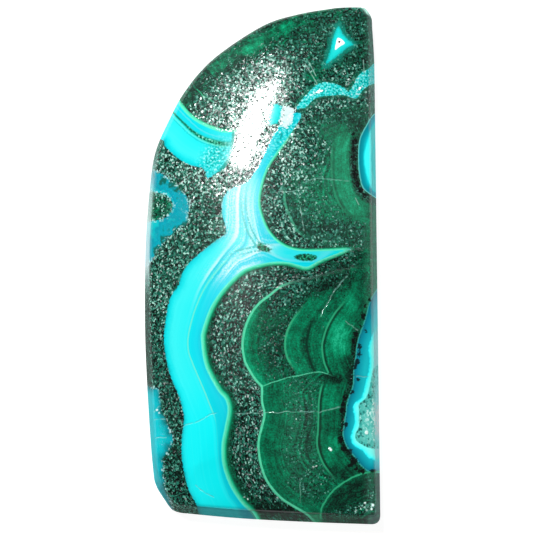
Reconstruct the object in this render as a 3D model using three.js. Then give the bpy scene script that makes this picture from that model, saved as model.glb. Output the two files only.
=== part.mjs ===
// A freeform polished cabochon, cut from one piece of banded copper ore: a tall stone with a flat
// back, one long sweeping shoulder, a straight side, a straight foot and a low domed face.
// Units are millimetres. +Z is up out of the domed face, +Y runs along the length towards the
// narrow end, and +X points at the straight side. The origin is under the middle of the stone,
// on the plane that its flat back rests on.

import * as THREE from 'three';

// Overall size
const LENGTH = 36.4;
const WIDTH = 16.4;

// Section through the rim, from the back upwards
const BACK_BEVEL_IN = 0.25;
const BACK_BEVEL_UP = 0.3;
const WALL_TOP = 2.6;
const WALL_LEAN = 0.32;
const SHOULDER_RISE = 0.2;
const SHOULDER_WIDTH = 0.28;

// Dome: how high it crowns, how far in from each side it takes to level out, and how full it
// is over the rim, where 1 would be a thin parabola and 0.5 an ellipse
const CROWN = 2.17;
const SWEEP_REACH = 9.5;
const STRAIGHT_SIDE_REACH = 7.0;
const FOOT_REACH = 8.0;
const FULLNESS = 0.8;

// Ends of the dome lie lower than its middle by this much
const LENGTHWISE_FALL = 0.28;

// Mesh density: lines across the face, and lines along it, between the shoulder lines
const COLUMNS = 24;
const ROWS = 54;
const SHOULDER_LINES = [0.05, 0.13, 0.25, 0.5, 1.0];
const OUTLINE_SAMPLES = 720;

const STONE_GREEN = 0x0f5f4b;

// A point of the outline, measured as with a caliper: in from the widest line on the sweeping
// side, and down from the narrow end.
function at(fromSweep, fromTop) {
  return new THREE.Vector2(fromSweep - WIDTH / 2, LENGTH / 2 - fromTop);
}

// The outline at its widest, the girdle, run clockwise from the middle of the cut-off corner
// at the foot: up the long side, over the sweep, down the straight side and back along the foot.
function girdleOutline() {
  const start = at(1.42, 34.68);
  const cutUpperEnd = at(0.84, 33.79);
  const cutLowerEnd = at(1.98, 35.53);
  const narrowCorner = at(16.02, 0.02);
  const squareCorner = at(16.4, 36.41);

  const longSideAndSweep = [
    at(0.49, 31.24), at(0.2, 27.0), at(0.03, 23.25), at(0.0, 19.6), at(0.06, 16.4),
    at(0.3, 12.95), at(0.68, 10.3), at(1.66, 7.94), at(2.82, 5.81), at(4.66, 3.7),
    at(8.02, 1.41), at(10.6, 0.53), at(13.3, 0.06),
  ];
  const foot = [at(11.4, 36.24), at(6.6, 35.98), at(2.6, 35.61)];

  const outline = new THREE.Path();
  outline.moveTo(start.x, start.y);
  curveTo(outline, at(1.02, 34.07), null);
  curveTo(outline, at(0.7, 33.31), cutUpperEnd);
  outline.splineThru(longSideAndSweep);
  curveTo(outline, at(15.1, 0.02), at(14.2, -0.02));
  curveTo(outline, at(15.95, 1.26), narrowCorner);
  curveTo(outline, at(16.1, 3.94), at(16.04, 2.43));
  curveTo(outline, at(16.4, 35.76), null);
  curveTo(outline, at(15.76, 36.4), squareCorner);
  outline.splineThru(foot);
  curveTo(outline, at(1.74, 35.16), cutLowerEnd);
  curveTo(outline, start, null);
  return outline;
}

// Adds a straight line to `end`, or with a control point a smooth bend.
function curveTo(path, end, control) {
  if (control) {
    path.quadraticCurveTo(control.x, control.y, end.x, end.y);
  } else {
    path.lineTo(end.x, end.y);
  }
}

const girdle = girdleOutline();

// A point on the outline at fraction t of the way round, moved straight in by `inset`.
function rimPoint(t, inset) {
  const point = girdle.getPoint(t);
  const along = girdle.getTangent(t);
  return new THREE.Vector2(point.x + along.y * inset, point.y - along.x * inset);
}

// Fraction of the way round at which the outline passes nearest to a point.
function fractionNear(target) {
  let best = 0;
  let bestDistance = Infinity;
  for (let i = 0; i < OUTLINE_SAMPLES; i += 1) {
    const t = i / OUTLINE_SAMPLES;
    const distance = girdle.getPoint(t).distanceTo(target);
    if (distance < bestDistance) {
      bestDistance = distance;
      best = t;
    }
  }
  return best;
}

// The face is a four-sided patch. Its corners are the cut-off corner, a point halfway round the
// sweep, the narrow end's corner and the square corner at the foot.
const SWEEP_CORNER = fractionNear(at(4.66, 3.7));
const NARROW_CORNER = fractionNear(at(15.7, 0.35));
const SQUARE_CORNER = fractionNear(at(16.24, 36.24));

const longSide = (s) => s * SWEEP_CORNER;
const topSide = (s) => SWEEP_CORNER + s * (NARROW_CORNER - SWEEP_CORNER);
const straightSide = (s) => SQUARE_CORNER + s * (NARROW_CORNER - SQUARE_CORNER);
const footSide = (s) => 1 + s * (SQUARE_CORNER - 1);

// Straight distance from a point to a run of outline samples.
function distanceToRun(point, run) {
  let best = Infinity;
  const edge = new THREE.Line3();
  const place = new THREE.Vector3(point.x, point.y, 0);
  const nearest = new THREE.Vector3();
  for (let i = 1; i < run.length; i += 1) {
    edge.start.set(run[i - 1].x, run[i - 1].y, 0);
    edge.end.set(run[i].x, run[i].y, 0);
    edge.closestPointToPoint(place, true, nearest);
    best = Math.min(best, nearest.distanceTo(place));
  }
  return best;
}

function sampleRun(from, to) {
  const count = Math.ceil(Math.abs(to - from) * OUTLINE_SAMPLES);
  const run = [];
  for (let i = 0; i <= count; i += 1) {
    run.push(rimPoint(from + (to - from) * i / count, WALL_LEAN));
  }
  return run;
}

const sweepRun = sampleRun(0, NARROW_CORNER);
const straightRun = sampleRun(NARROW_CORNER, SQUARE_CORNER);
const footRun = sampleRun(SQUARE_CORNER, 1);

// Rises from 0 at the rim to 1 at `reach`, and is level from there on.
function crownRise(distance, reach) {
  const left = 1 - Math.min(distance / reach, 1);
  return (1 - left * left) ** FULLNESS;
}

// Quarter-round that turns the wall over into the face.
function shoulderRise(distance) {
  const left = 1 - Math.min(distance / SHOULDER_WIDTH, 1);
  return SHOULDER_RISE * Math.sqrt(1 - left * left);
}

// Height of the polished face over the plane of the back.
function faceHeight(point) {
  const fromSweep = distanceToRun(point, sweepRun);
  const fromStraight = distanceToRun(point, straightRun);
  const fromFoot = distanceToRun(point, footRun);
  const crown = crownRise(fromSweep, SWEEP_REACH)
    * crownRise(fromStraight, STRAIGHT_SIDE_REACH)
    * crownRise(fromFoot, FOOT_REACH);
  const lengthwise = 1 - (LENGTHWISE_FALL / CROWN) * (2 * point.y / LENGTH) ** 2;
  const nearest = Math.min(fromSweep, fromStraight, fromFoot);
  return WALL_TOP + shoulderRise(nearest) + CROWN * crown * lengthwise;
}

// Fractions across a side of the patch: close lines over both shoulders, even ones between.
function patchLines(count, sideLength) {
  const near = SHOULDER_LINES.map((distance) => distance / sideLength);
  const first = near[near.length - 1];
  const lines = [0, ...near];
  for (let i = 1; i < count; i += 1) {
    lines.push(first + (1 - 2 * first) * i / count);
  }
  for (const fraction of near.slice().reverse()) {
    lines.push(1 - fraction);
  }
  lines.push(1);
  return lines;
}

// Blends the four sides into one place on the face, u across and v along.
function patchPoint(u, v, inset) {
  const foot = rimPoint(footSide(u), inset);
  const top = rimPoint(topSide(u), inset);
  const long = rimPoint(longSide(v), inset);
  const straight = rimPoint(straightSide(v), inset);
  const corners = [rimPoint(longSide(0), inset), rimPoint(straightSide(0), inset),
    rimPoint(longSide(1), inset), rimPoint(straightSide(1), inset)];
  const weights = [(1 - u) * (1 - v), u * (1 - v), (1 - u) * v, u * v];
  const place = new THREE.Vector2();
  place.addScaledVector(foot, 1 - v);
  place.addScaledVector(top, v);
  place.addScaledVector(long, 1 - u);
  place.addScaledVector(straight, u);
  corners.forEach((corner, i) => place.addScaledVector(corner, -weights[i]));
  return place;
}

// Collects points and triangles of one closed skin.
class Skin {
  constructor() {
    this.points = [];
    this.triangles = [];
  }

  add(x, y, z) {
    this.points.push(new THREE.Vector3(x, y, z));
    return this.points.length - 1;
  }

  // Splits a quad along its shorter diagonal, keeping its turning sense.
  quad(a, b, c, d) {
    const p = this.points;
    if (p[a].distanceTo(p[c]) <= p[b].distanceTo(p[d])) {
      this.triangles.push(a, b, c, a, c, d);
    } else {
      this.triangles.push(a, b, d, b, c, d);
    }
  }

  geometry() {
    const geometry = new THREE.BufferGeometry();
    geometry.setFromPoints(this.points);
    geometry.setIndex(this.triangles);
    geometry.computeVertexNormals();
    return geometry;
  }
}

// The domed face as a grid of points, and the fractions round the outline of its edge points.
function addFace(skin) {
  const across = patchLines(COLUMNS, WIDTH);
  const along = patchLines(ROWS, LENGTH);
  const grid = along.map((v) => across.map((u) => {
    const place = patchPoint(u, v, WALL_LEAN);
    return skin.add(place.x, place.y, faceHeight(place));
  }));
  for (let j = 0; j + 1 < along.length; j += 1) {
    for (let i = 0; i + 1 < across.length; i += 1) {
      skin.quad(grid[j][i], grid[j][i + 1], grid[j + 1][i + 1], grid[j + 1][i]);
    }
  }
  return edgeLoop(grid, across, along);
}

// The edge of the face, run clockwise seen from above like the outline itself.
function edgeLoop(grid, across, along) {
  const lastRow = along.length - 1;
  const lastColumn = across.length - 1;
  const loop = [];
  for (let j = 0; j < lastRow; j += 1) {
    loop.push({ index: grid[j][0], t: longSide(along[j]) });
  }
  for (let i = 0; i < lastColumn; i += 1) {
    loop.push({ index: grid[lastRow][i], t: topSide(across[i]) });
  }
  for (let j = lastRow; j > 0; j -= 1) {
    loop.push({ index: grid[j][lastColumn], t: straightSide(along[j]) });
  }
  for (let i = lastColumn; i > 0; i -= 1) {
    loop.push({ index: grid[0][i], t: footSide(across[i]) });
  }
  return loop;
}

// Leads one ring of points down to the next, which lies lower on the wall.
function addWallBand(skin, loop, inset, height) {
  const lower = loop.map(({ t }) => {
    const place = rimPoint(t, inset);
    return { index: skin.add(place.x, place.y, height), t };
  });
  for (let i = 0; i < loop.length; i += 1) {
    const next = (i + 1) % loop.length;
    skin.quad(loop[i].index, loop[next].index, lower[next].index, lower[i].index);
  }
  return lower;
}

// The flat back, fanned out from a point inside its ring.
function addBack(skin, ring) {
  const middle = new THREE.Vector3();
  ring.forEach(({ index }) => middle.addScaledVector(skin.points[index], 1 / ring.length));
  const hub = skin.add(middle.x, middle.y, 0);
  ring.forEach(({ index }, i) => {
    const next = ring[(i + 1) % ring.length].index;
    skin.triangles.push(hub, index, next);
  });
}

function cabochonGeometry() {
  const skin = new Skin();
  const faceEdge = addFace(skin);
  const halfway = (BACK_BEVEL_UP + WALL_TOP) / 2;
  const middle = addWallBand(skin, faceEdge, WALL_LEAN / 2, halfway);
  const widest = addWallBand(skin, middle, 0, BACK_BEVEL_UP);
  const backEdge = addWallBand(skin, widest, BACK_BEVEL_IN, 0);
  addBack(skin, backEdge);
  return skin.geometry();
}

function makeCabochon() {
  const material = new THREE.MeshStandardMaterial({ color: STONE_GREEN, roughness: 0.18, metalness: 0 });
  const cabochon = new THREE.Mesh(cabochonGeometry(), material);
  cabochon.name = 'cabochon';
  return cabochon;
}

const part = new THREE.Group();
part.add(makeCabochon());

export default part;
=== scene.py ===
# %% [markdown]
# A polished freeform cabochon, cut from one piece of banded copper ore. The real stone was sawn
# from rough rock, its outline and its low dome were ground on wheels, and the face was polished.
# It grew much earlier: layer on layer of green malachite round a few centres, with turquoise
# copper silicate between the layers and in small pockets.
#
# The lesson follows the same order: the camera, the ground and polished shape, the growth layers,
# the finish of each kind of rock, and the studio.

# %% Load the frame
import math
import bmesh
import bpy
import numpy as np
from mathutils import Matrix, Vector


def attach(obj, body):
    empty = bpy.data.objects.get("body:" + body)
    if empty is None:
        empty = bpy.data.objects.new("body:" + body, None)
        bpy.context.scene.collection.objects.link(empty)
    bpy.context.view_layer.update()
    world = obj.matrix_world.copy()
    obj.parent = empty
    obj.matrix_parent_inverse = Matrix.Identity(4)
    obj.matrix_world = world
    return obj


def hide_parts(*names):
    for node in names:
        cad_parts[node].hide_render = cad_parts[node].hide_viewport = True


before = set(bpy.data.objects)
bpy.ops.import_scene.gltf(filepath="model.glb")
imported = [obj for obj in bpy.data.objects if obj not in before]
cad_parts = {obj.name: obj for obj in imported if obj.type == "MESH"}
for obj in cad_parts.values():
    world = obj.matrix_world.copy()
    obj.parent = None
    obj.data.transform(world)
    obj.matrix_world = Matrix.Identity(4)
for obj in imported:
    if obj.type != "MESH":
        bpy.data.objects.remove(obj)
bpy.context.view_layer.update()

# %% [markdown]
# The camera comes first, because the layers of the stone are placed by where they show in the
# photograph. A long lens from 30 cm looks down on the stone, tilted a little towards its foot, so
# that the wall at the foot just shows. The long lens keeps the sides of the outline parallel.

# %% Set up the camera
MM = 0.001
PHOTO_PX = 533
SENSOR_MM = 36.0
LENS_MM = 291.6
CAMERA_DISTANCE_MM = 300.0
VIEW_TILT = math.radians(8.0)
AIM_MM = Vector((0.30, -0.43, 2.4))
TOWARD_CAMERA = Vector((0.0, -math.sin(VIEW_TILT), math.cos(VIEW_TILT)))
CAMERA_MM = AIM_MM + TOWARD_CAMERA * CAMERA_DISTANCE_MM
PX_PER_MM = PHOTO_PX * LENS_MM / SENSOR_MM / CAMERA_DISTANCE_MM

camera_data = bpy.data.cameras.new("studio_camera")
camera_data.lens = LENS_MM
camera_data.sensor_width = SENSOR_MM
camera = bpy.data.objects.new("studio_camera", camera_data)
camera.location = CAMERA_MM * MM
camera.rotation_euler = (VIEW_TILT, 0.0, 0.0)
bpy.context.scene.collection.objects.link(camera)
bpy.context.scene.camera = camera
print("one millimetre shows as", round(PX_PER_MM, 2), "pixels")

# %% [markdown]
# Node trees are easier to read as sums. These helpers add a node in one line, and a `Field` is a
# number in a tree that can be added and multiplied, each time with a new Math node behind it. The
# same helpers serve the tree that shapes the stone and the trees that colour it.

# %% Helpers for node trees
def feed(tree, socket, value):
    """Links a socket or a field into a node, or sets a plain value on it."""
    if isinstance(value, Field):
        value = value.socket
    if isinstance(value, bpy.types.NodeSocket):
        tree.links.new(value, socket)
    else:
        socket.default_value = value


def add_node(tree, kind, inputs=None, **settings):
    """Adds one node with its settings, then feeds its inputs, by name or by number."""
    node = tree.nodes.new(kind)
    for name, value in settings.items():
        setattr(node, name, value)
    for name, value in (inputs or {}).items():
        feed(tree, node.inputs[name], value)
    return node


class Field:
    """A number that varies over the stone."""

    def __init__(self, tree, socket):
        self.tree = tree
        self.socket = socket

    def math(self, operation, *others):
        """A Math node on this field and up to two more numbers."""
        return calculate(self.tree, operation, self, *others)

    def __add__(self, other):
        return self.math("ADD", other)

    def __sub__(self, other):
        return self.math("SUBTRACT", other)

    def __radd__(self, other):
        return self + other

    def __rsub__(self, other):
        return calculate(self.tree, "SUBTRACT", other, self)

    def __mul__(self, other):
        return self.math("MULTIPLY", other)

    def __rmul__(self, other):
        return self * other

    def __truediv__(self, other):
        return self.math("DIVIDE", other)

    def __pow__(self, other):
        return self.math("POWER", other)


def calculate(tree, operation, *values):
    """One Math node."""
    node = add_node(tree, "ShaderNodeMath", dict(enumerate(values)), operation=operation)
    return Field(tree, node.outputs[0])


def rise(field, low, high, at_low=0.0, at_high=1.0, smooth=True):
    """Goes from one value to another while the field goes from low to high."""
    kind = "SMOOTHSTEP" if smooth else "LINEAR"
    places = {"Value": field, "From Min": low, "From Max": high, "To Min": at_low, "To Max": at_high}
    node = add_node(field.tree, "ShaderNodeMapRange", places, interpolation_type=kind)
    return Field(field.tree, node.outputs[0])


def vector(tree, operation, *values):
    """A Vector Math node that gives a vector."""
    node = add_node(tree, "ShaderNodeVectorMath", dict(enumerate(values)), operation=operation)
    return Field(tree, node.outputs["Vector"])


def vector_value(tree, operation, *values):
    """A Vector Math node that gives a number."""
    node = add_node(tree, "ShaderNodeVectorMath", dict(enumerate(values)), operation=operation)
    return Field(tree, node.outputs["Value"])


def as_vector(tree, value):
    """The same number on all three axes."""
    return Field(tree, add_node(tree, "ShaderNodeCombineXYZ", {0: value, 1: value, 2: value}).outputs[0])


def channels(tree, colour):
    """The three channels of a colour as a vector."""
    split = add_node(tree, "ShaderNodeSeparateColor", {0: colour})
    return add_node(tree, "ShaderNodeCombineXYZ", {i: split.outputs[i] for i in range(3)}).outputs[0]


# %% [markdown]
# The shape of the stone follows a rule, so Geometry Nodes make it. The rule starts from the girdle,
# the outline at its widest, which is read off the CAD solid. The wall leans in a little from there
# up to the edge of the face. A quarter-round shoulder turns it over into the dome, which rises with
# the distance from three runs of the edge: the sweep, the straight side and the foot.
#
# A cube grid of points is bent onto the stone: `u` runs across, `v` along and `w` up the wall. For
# each point the tree blends the four sides of the outline, which keeps the grid lines flowing with
# the outline and leaves no poles.

# %% Read the girdle off the CAD solid
CUT_CORNER = Vector((-6.78, -16.48))
SWEEP_CORNER = Vector((-3.54, 14.5))
NARROW_CORNER = Vector((7.5, 17.85))
SQUARE_CORNER = Vector((8.04, -18.04))


def girdle_ring(node):
    """The widest ring of a CAD node, clockwise from above, in millimetres, first point repeated."""
    work = bmesh.new()
    work.from_mesh(node.data)
    bmesh.ops.remove_doubles(work, verts=work.verts, dist=1e-7)
    widest = min(work.verts, key=lambda vert: vert.co.x).co.z
    ring = [vert.co / MM for vert in work.verts if abs(vert.co.z - widest) < 1e-6]
    work.free()
    ring.sort(key=lambda point: -math.atan2(point.y, point.x))
    first = nearest_index(ring, CUT_CORNER)
    return ring[first:] + ring[:first + 1]


def nearest_index(ring, place):
    return min(range(len(ring)), key=lambda i: (ring[i].xy - place).length)


def fraction_at(ring, place):
    """How far round the ring its point nearest to a place is, from 0 to 1."""
    steps = [(b - a).length for a, b in zip(ring, ring[1:])]
    return sum(steps[:nearest_index(ring, place)]) / sum(steps)


girdle = girdle_ring(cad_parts["cabochon"])
corner_fractions = {
    "Sweep Corner": fraction_at(girdle, SWEEP_CORNER),
    "Narrow Corner": fraction_at(girdle, NARROW_CORNER),
    "Square Corner": fraction_at(girdle, SQUARE_CORNER),
}
print("girdle points:", len(girdle), "corners at", corner_fractions)

# %% Sizes of the section through the rim and of the dome, in millimetres
RIM_SIZES = {
    "Back Bevel In": 0.25,
    "Back Bevel Up": 0.3,
    "Wall Top": 2.6,
    "Wall Lean": 0.32,
    "Shoulder Rise": 0.2,
    "Shoulder Width": 0.28,
}
DOME_SIZES = {
    "Crown": 2.17,
    "Sweep Reach": 9.5,
    "Straight Reach": 7.0,
    "Foot Reach": 8.0,
    "Fullness": 0.8,
    "Lengthwise Fall": 0.28,
    "Length": 36.4,
}
GRID_POINTS = {"Points Across": 141, "Points Along": 301, "Points Up": 8}
OUTLINE_POINTS = 1800
EDGE_CROWDING = 0.4
BEVEL_SHARE = 1.0 / (GRID_POINTS["Points Up"] - 1)


# %% The node tree that shapes the stone
def outline_curve(tree, geometry):
    """The girdle as one smooth open curve, run clockwise."""
    curve = add_node(tree, "GeometryNodeMeshToCurve", {"Mesh": geometry}).outputs[0]
    smooth = add_node(tree, "GeometryNodeCurveSplineType", {"Curve": curve}, spline_type="CATMULL_ROM")
    counted = {"Curve": smooth.outputs[0], "Count": OUTLINE_POINTS}
    return add_node(tree, "GeometryNodeResampleCurve", counted).outputs[0]


def inward_of(tree, tangent, inset):
    """The step to the right of a clockwise tangent, as its x and y fields."""
    split = add_node(tree, "ShaderNodeSeparateXYZ", {0: tangent})
    return Field(tree, split.outputs["Y"]) * inset, Field(tree, split.outputs["X"]) * inset * -1.0


def rim_point(tree, curve, fraction, inset):
    """The outline at a fraction of its length, moved straight in, as x and y fields."""
    sample = add_node(tree, "GeometryNodeSampleCurve", {"Curves": curve, "Factor": fraction})
    place = add_node(tree, "ShaderNodeSeparateXYZ", {0: sample.outputs["Position"]})
    step_x, step_y = inward_of(tree, sample.outputs["Tangent"], inset)
    return Field(tree, place.outputs["X"]) + step_x, Field(tree, place.outputs["Y"]) + step_y


def blended_patch(tree, curve, sizes, u, v, inset):
    """Blends the four sides of the outline into one place, u across and v along."""
    sweep, narrow, square = (sizes[name] for name in ("Sweep Corner", "Narrow Corner", "Square Corner"))
    zero = sweep * 0.0
    sides = [
        (rim_point(tree, curve, 1.0 - u * (1.0 - square), inset), 1.0 - v),
        (rim_point(tree, curve, sweep + u * (narrow - sweep), inset), v),
        (rim_point(tree, curve, v * sweep, inset), 1.0 - u),
        (rim_point(tree, curve, square - v * (square - narrow), inset), u),
    ]
    corners = [
        (rim_point(tree, curve, zero, inset), (1.0 - u) * (1.0 - v)),
        (rim_point(tree, curve, square, inset), u * (1.0 - v)),
        (rim_point(tree, curve, sweep, inset), (1.0 - u) * v),
        (rim_point(tree, curve, narrow, inset), u * v),
    ]
    blend = []
    for axis in (0, 1):
        total = zero
        for point, weight in sides:
            total = total + point[axis] * weight
        for point, weight in corners:
            total = total - point[axis] * weight
        blend.append(total)
    return blend


def edge_run(tree, curve, start, end):
    """One run of the face's edge as mesh edges, to measure distances from."""
    part = add_node(tree, "GeometryNodeTrimCurve", {"Curve": curve, 2: start, 3: end}).outputs[0]
    return add_node(tree, "GeometryNodeCurveToMesh", {"Curve": part}).outputs[0]


def distance_from(tree, target, place):
    settings = {"Geometry": target, "Sample Position": place}
    node = add_node(tree, "GeometryNodeProximity", settings, target_element="EDGES")
    return Field(tree, node.outputs["Distance"])


def level_off(distance, reach, power):
    """Rises from 0 at the rim to 1 at the reach, and is level from there on."""
    left = 1.0 - rise(distance, 0.0, reach, smooth=False)
    return (1.0 - left * left) ** power


def face_rise(tree, sizes, distances, y):
    """Height of the polished face over the edge of the wall."""
    reaches = (sizes["Sweep Reach"], sizes["Straight Reach"], sizes["Foot Reach"])
    crown = sizes["Crown"] * 1.0
    for distance, reach in zip(distances, reaches):
        crown = crown * level_off(distance, reach, sizes["Fullness"])
    ends = y * 2.0 / sizes["Length"]
    fall = sizes["Lengthwise Fall"] / sizes["Crown"]
    nearest = distances[0].math("MINIMUM", distances[1]).math("MINIMUM", distances[2])
    shoulder = level_off(nearest, sizes["Shoulder Width"], 0.5) * sizes["Shoulder Rise"]
    return crown * (1.0 - fall * ends * ends) + shoulder


def crowded(t):
    """Moves the grid lines closer together near both ends of the side."""
    return t - (t * math.tau).math("SINE") * (EDGE_CROWDING / math.tau)


def cabochon_tree(material):
    """Builds the whole tree and returns it with the identifier of each input."""
    tree = bpy.data.node_groups.new("Freeform cabochon", "GeometryNodeTree")
    inputs = {}
    tree.interface.new_socket("Girdle", in_out="INPUT", socket_type="NodeSocketGeometry")
    for name in GRID_POINTS:
        inputs[name] = tree.interface.new_socket(name, in_out="INPUT", socket_type="NodeSocketInt")
    for name in (*RIM_SIZES, *DOME_SIZES, *corner_fractions):
        inputs[name] = tree.interface.new_socket(name, in_out="INPUT", socket_type="NodeSocketFloat")
    inputs["Finish"] = tree.interface.new_socket("Finish", in_out="INPUT", socket_type="NodeSocketMaterial")
    tree.interface.new_socket("Stone", in_out="OUTPUT", socket_type="NodeSocketGeometry")
    entry = tree.nodes.new("NodeGroupInput")
    sizes = {name: Field(tree, entry.outputs[name]) for name in inputs}

    curve = outline_curve(tree, entry.outputs["Girdle"])
    lean_x, lean_y = inward_of(tree, add_node(tree, "GeometryNodeInputTangent").outputs[0], sizes["Wall Lean"])
    lean = add_node(tree, "ShaderNodeCombineXYZ", {"X": lean_x, "Y": lean_y}).outputs[0]
    lower = add_node(tree, "ShaderNodeCombineXYZ", {"X": 1.0, "Y": 1.0, "Z": 0.0}).outputs[0]
    place = add_node(tree, "GeometryNodeInputPosition").outputs[0]
    flat = add_node(tree, "ShaderNodeVectorMath", {0: place, 1: lower}, operation="MULTIPLY").outputs[0]
    leant = {"Geometry": curve, "Position": flat, "Offset": lean}
    face_edge = add_node(tree, "GeometryNodeSetPosition", leant).outputs[0]
    ends = [sizes["Narrow Corner"] * 0.0, sizes["Narrow Corner"], sizes["Square Corner"], 1.0]
    runs = [edge_run(tree, face_edge, start, end) for start, end in zip(ends, ends[1:])]

    counts = {"Size": (1.0, 1.0, 1.0)}
    for axis, name in zip("XYZ", GRID_POINTS):
        counts[f"Vertices {axis}"] = sizes[name]
    grid = add_node(tree, "GeometryNodeMeshCube", counts).outputs[0]
    split = add_node(tree, "ShaderNodeSeparateXYZ", {0: place})
    u, v, w = (Field(tree, split.outputs[axis]) + 0.5 for axis in "XYZ")
    u = crowded(u)
    v = crowded(v)

    bevel_in = rise(w, 0.0, BEVEL_SHARE, sizes["Back Bevel In"], 0.0, smooth=False)
    inset = bevel_in + rise(w, BEVEL_SHARE, 1.0, 0.0, sizes["Wall Lean"], smooth=False)
    bevel_up = rise(w, 0.0, BEVEL_SHARE, 0.0, sizes["Back Bevel Up"], smooth=False)
    wall_height = sizes["Wall Top"] - sizes["Back Bevel Up"]
    wall_up = bevel_up + rise(w, BEVEL_SHARE, 1.0, 0.0, wall_height, smooth=False)
    x, y = blended_patch(tree, curve, sizes, u, v, inset)
    on_plan = add_node(tree, "ShaderNodeCombineXYZ", {"X": x, "Y": y}).outputs[0]
    distances = [distance_from(tree, run, on_plan) for run in runs]
    on_face = w.math("GREATER_THAN", 0.999)
    z = wall_up + face_rise(tree, sizes, distances, y) * on_face

    unrolled = sizes["Wall Lean"] - (sizes["Wall Top"] - wall_up)
    flat_x, flat_y = blended_patch(tree, curve, sizes, u, v, unrolled)
    opened = add_node(tree, "ShaderNodeCombineXYZ", {"X": flat_x, "Y": flat_y}).outputs[0]
    keep = {"Geometry": grid, "Name": "opened_flat", "Value": opened}
    stored = add_node(tree, "GeometryNodeStoreNamedAttribute", keep, data_type="FLOAT_VECTOR").outputs[0]
    bent = add_node(tree, "ShaderNodeCombineXYZ", {"X": x * MM, "Y": y * MM, "Z": z * MM}).outputs[0]
    shaped = add_node(tree, "GeometryNodeSetPosition", {"Geometry": stored, "Position": bent}).outputs[0]
    smooth = add_node(tree, "GeometryNodeSetShadeSmooth", {"Geometry": shaped}).outputs[0]
    real = add_node(tree, "GeometryNodeRealizeInstances", {"Geometry": smooth}).outputs[0]
    coated = add_node(tree, "GeometryNodeSetMaterial", {"Geometry": real, "Material": sizes["Finish"]})
    leave = tree.nodes.new("NodeGroupOutput")
    tree.links.new(coated.outputs[0], leave.inputs[0])
    return tree, {name: socket.identifier for name, socket in inputs.items()}


# %% Bend the grid onto the stone
def make_stone(material):
    """Runs the tree once on the girdle and keeps the result as a plain mesh."""
    line = bpy.data.meshes.new("girdle")
    line.from_pydata([tuple(point) for point in girdle], [(i, i + 1) for i in range(len(girdle) - 1)], [])
    maker = bpy.data.objects.new("stone_maker", line)
    bpy.context.scene.collection.objects.link(maker)
    tree, identifiers = cabochon_tree(material)
    modifier = maker.modifiers.new("Freeform cabochon", "NODES")
    modifier.node_group = tree
    values = {**GRID_POINTS, **RIM_SIZES, **DOME_SIZES, **corner_fractions, "Finish": material}
    for name, value in values.items():
        modifier[identifiers[name]] = value
    depsgraph = bpy.context.evaluated_depsgraph_get()
    mesh = bpy.data.meshes.new_from_object(maker.evaluated_get(depsgraph), depsgraph=depsgraph)
    bpy.data.objects.remove(maker)
    stone = bpy.data.objects.new("polished_stone", mesh)
    bpy.context.scene.collection.objects.link(stone)
    return stone


finish = bpy.data.materials.new("polished banded ore")
finish.use_nodes = True
stone = make_stone(finish)
mesh = stone.data
flat_places = np.empty(len(mesh.vertices) * 3)
mesh.vertices.foreach_get("co", flat_places)
stone_mm = flat_places.reshape(-1, 3) / MM
print("stone:", len(mesh.vertices), "points,", len(mesh.polygons) * 2, "triangles")
print("stone box in mm:", stone_mm.min(axis=0).round(3), stone_mm.max(axis=0).round(3))

# %% [markdown]
# Malachite grows outward from its centres in thin layers, so the pattern on the polished face is a
# set of nested growth fronts. Each front is drawn here once, as a smooth curve through a few given
# places, and every point of the stone then learns how far inside the front it lies, in millimetres.
# The finish reads those distances: whatever grew just after a front follows it as a band, with a
# crisp edge at any zoom, and no picture is needed.
#
# The places are in pixels of the photograph, and a point of the stone is looked up where the camera
# sees it. The layers stand nearly upright in the slab, so the wall and the back carry on the bands
# of the face, as a sawn rock does.

# %% Where the points of the stone show in the photograph
WALL_TOP_MM = RIM_SIZES["Wall Top"]


def on_photo(points):
    """Projects points in millimetres to pixels of the photograph."""
    away = points - np.array(CAMERA_MM)
    look = -np.array(TOWARD_CAMERA)
    upward = np.array((0.0, math.cos(VIEW_TILT), math.sin(VIEW_TILT)))
    scale = PX_PER_MM * CAMERA_DISTANCE_MM / (away @ look)
    middle = PHOTO_PX / 2
    return np.column_stack((middle + away[:, 0] * scale, middle - (away @ upward) * scale))


seen = on_photo(stone_mm)
print("stone in the photograph, px:", seen.min(axis=0).round(1), seen.max(axis=0).round(1))

# %% Distances from given curves
STEP_PX = 2.5
BEYOND = 90.0


def smooth_line(points, closed=False):
    """A Catmull-Rom curve through the points, cut into short straight steps."""
    given = np.array(points, float)
    if closed:
        padded = np.vstack((given[-1:], given, given[:2]))
    else:
        padded = np.vstack((2 * given[0] - given[1], given, 2 * given[-1] - given[-2]))
    parts = []
    for before, start, end, after in zip(padded, padded[1:], padded[2:], padded[3:]):
        count = max(2, int(np.linalg.norm(end - start) / STEP_PX))
        t = (np.arange(count) / count)[:, None]
        parts.append(0.5 * (2 * start + (end - before) * t
                            + (2 * before - 5 * start + 4 * end - after) * t ** 2
                            + (3 * start - before - 3 * end + after) * t ** 3))
    parts.append(given[:1] if closed else given[-1:])
    return np.vstack(parts)


def distance_to(line):
    """Distance of every point of the stone from a line, in millimetres."""
    best = np.full(len(seen), np.inf)
    for start, end in zip(line, line[1:]):
        step = end - start
        away = seen - start
        along = np.clip(away @ step / (step @ step), 0.0, 1.0)
        gap = away - along[:, None] * step
        best = np.minimum(best, np.einsum("ij,ij->i", gap, gap))
    return np.sqrt(best) / PX_PER_MM


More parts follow.
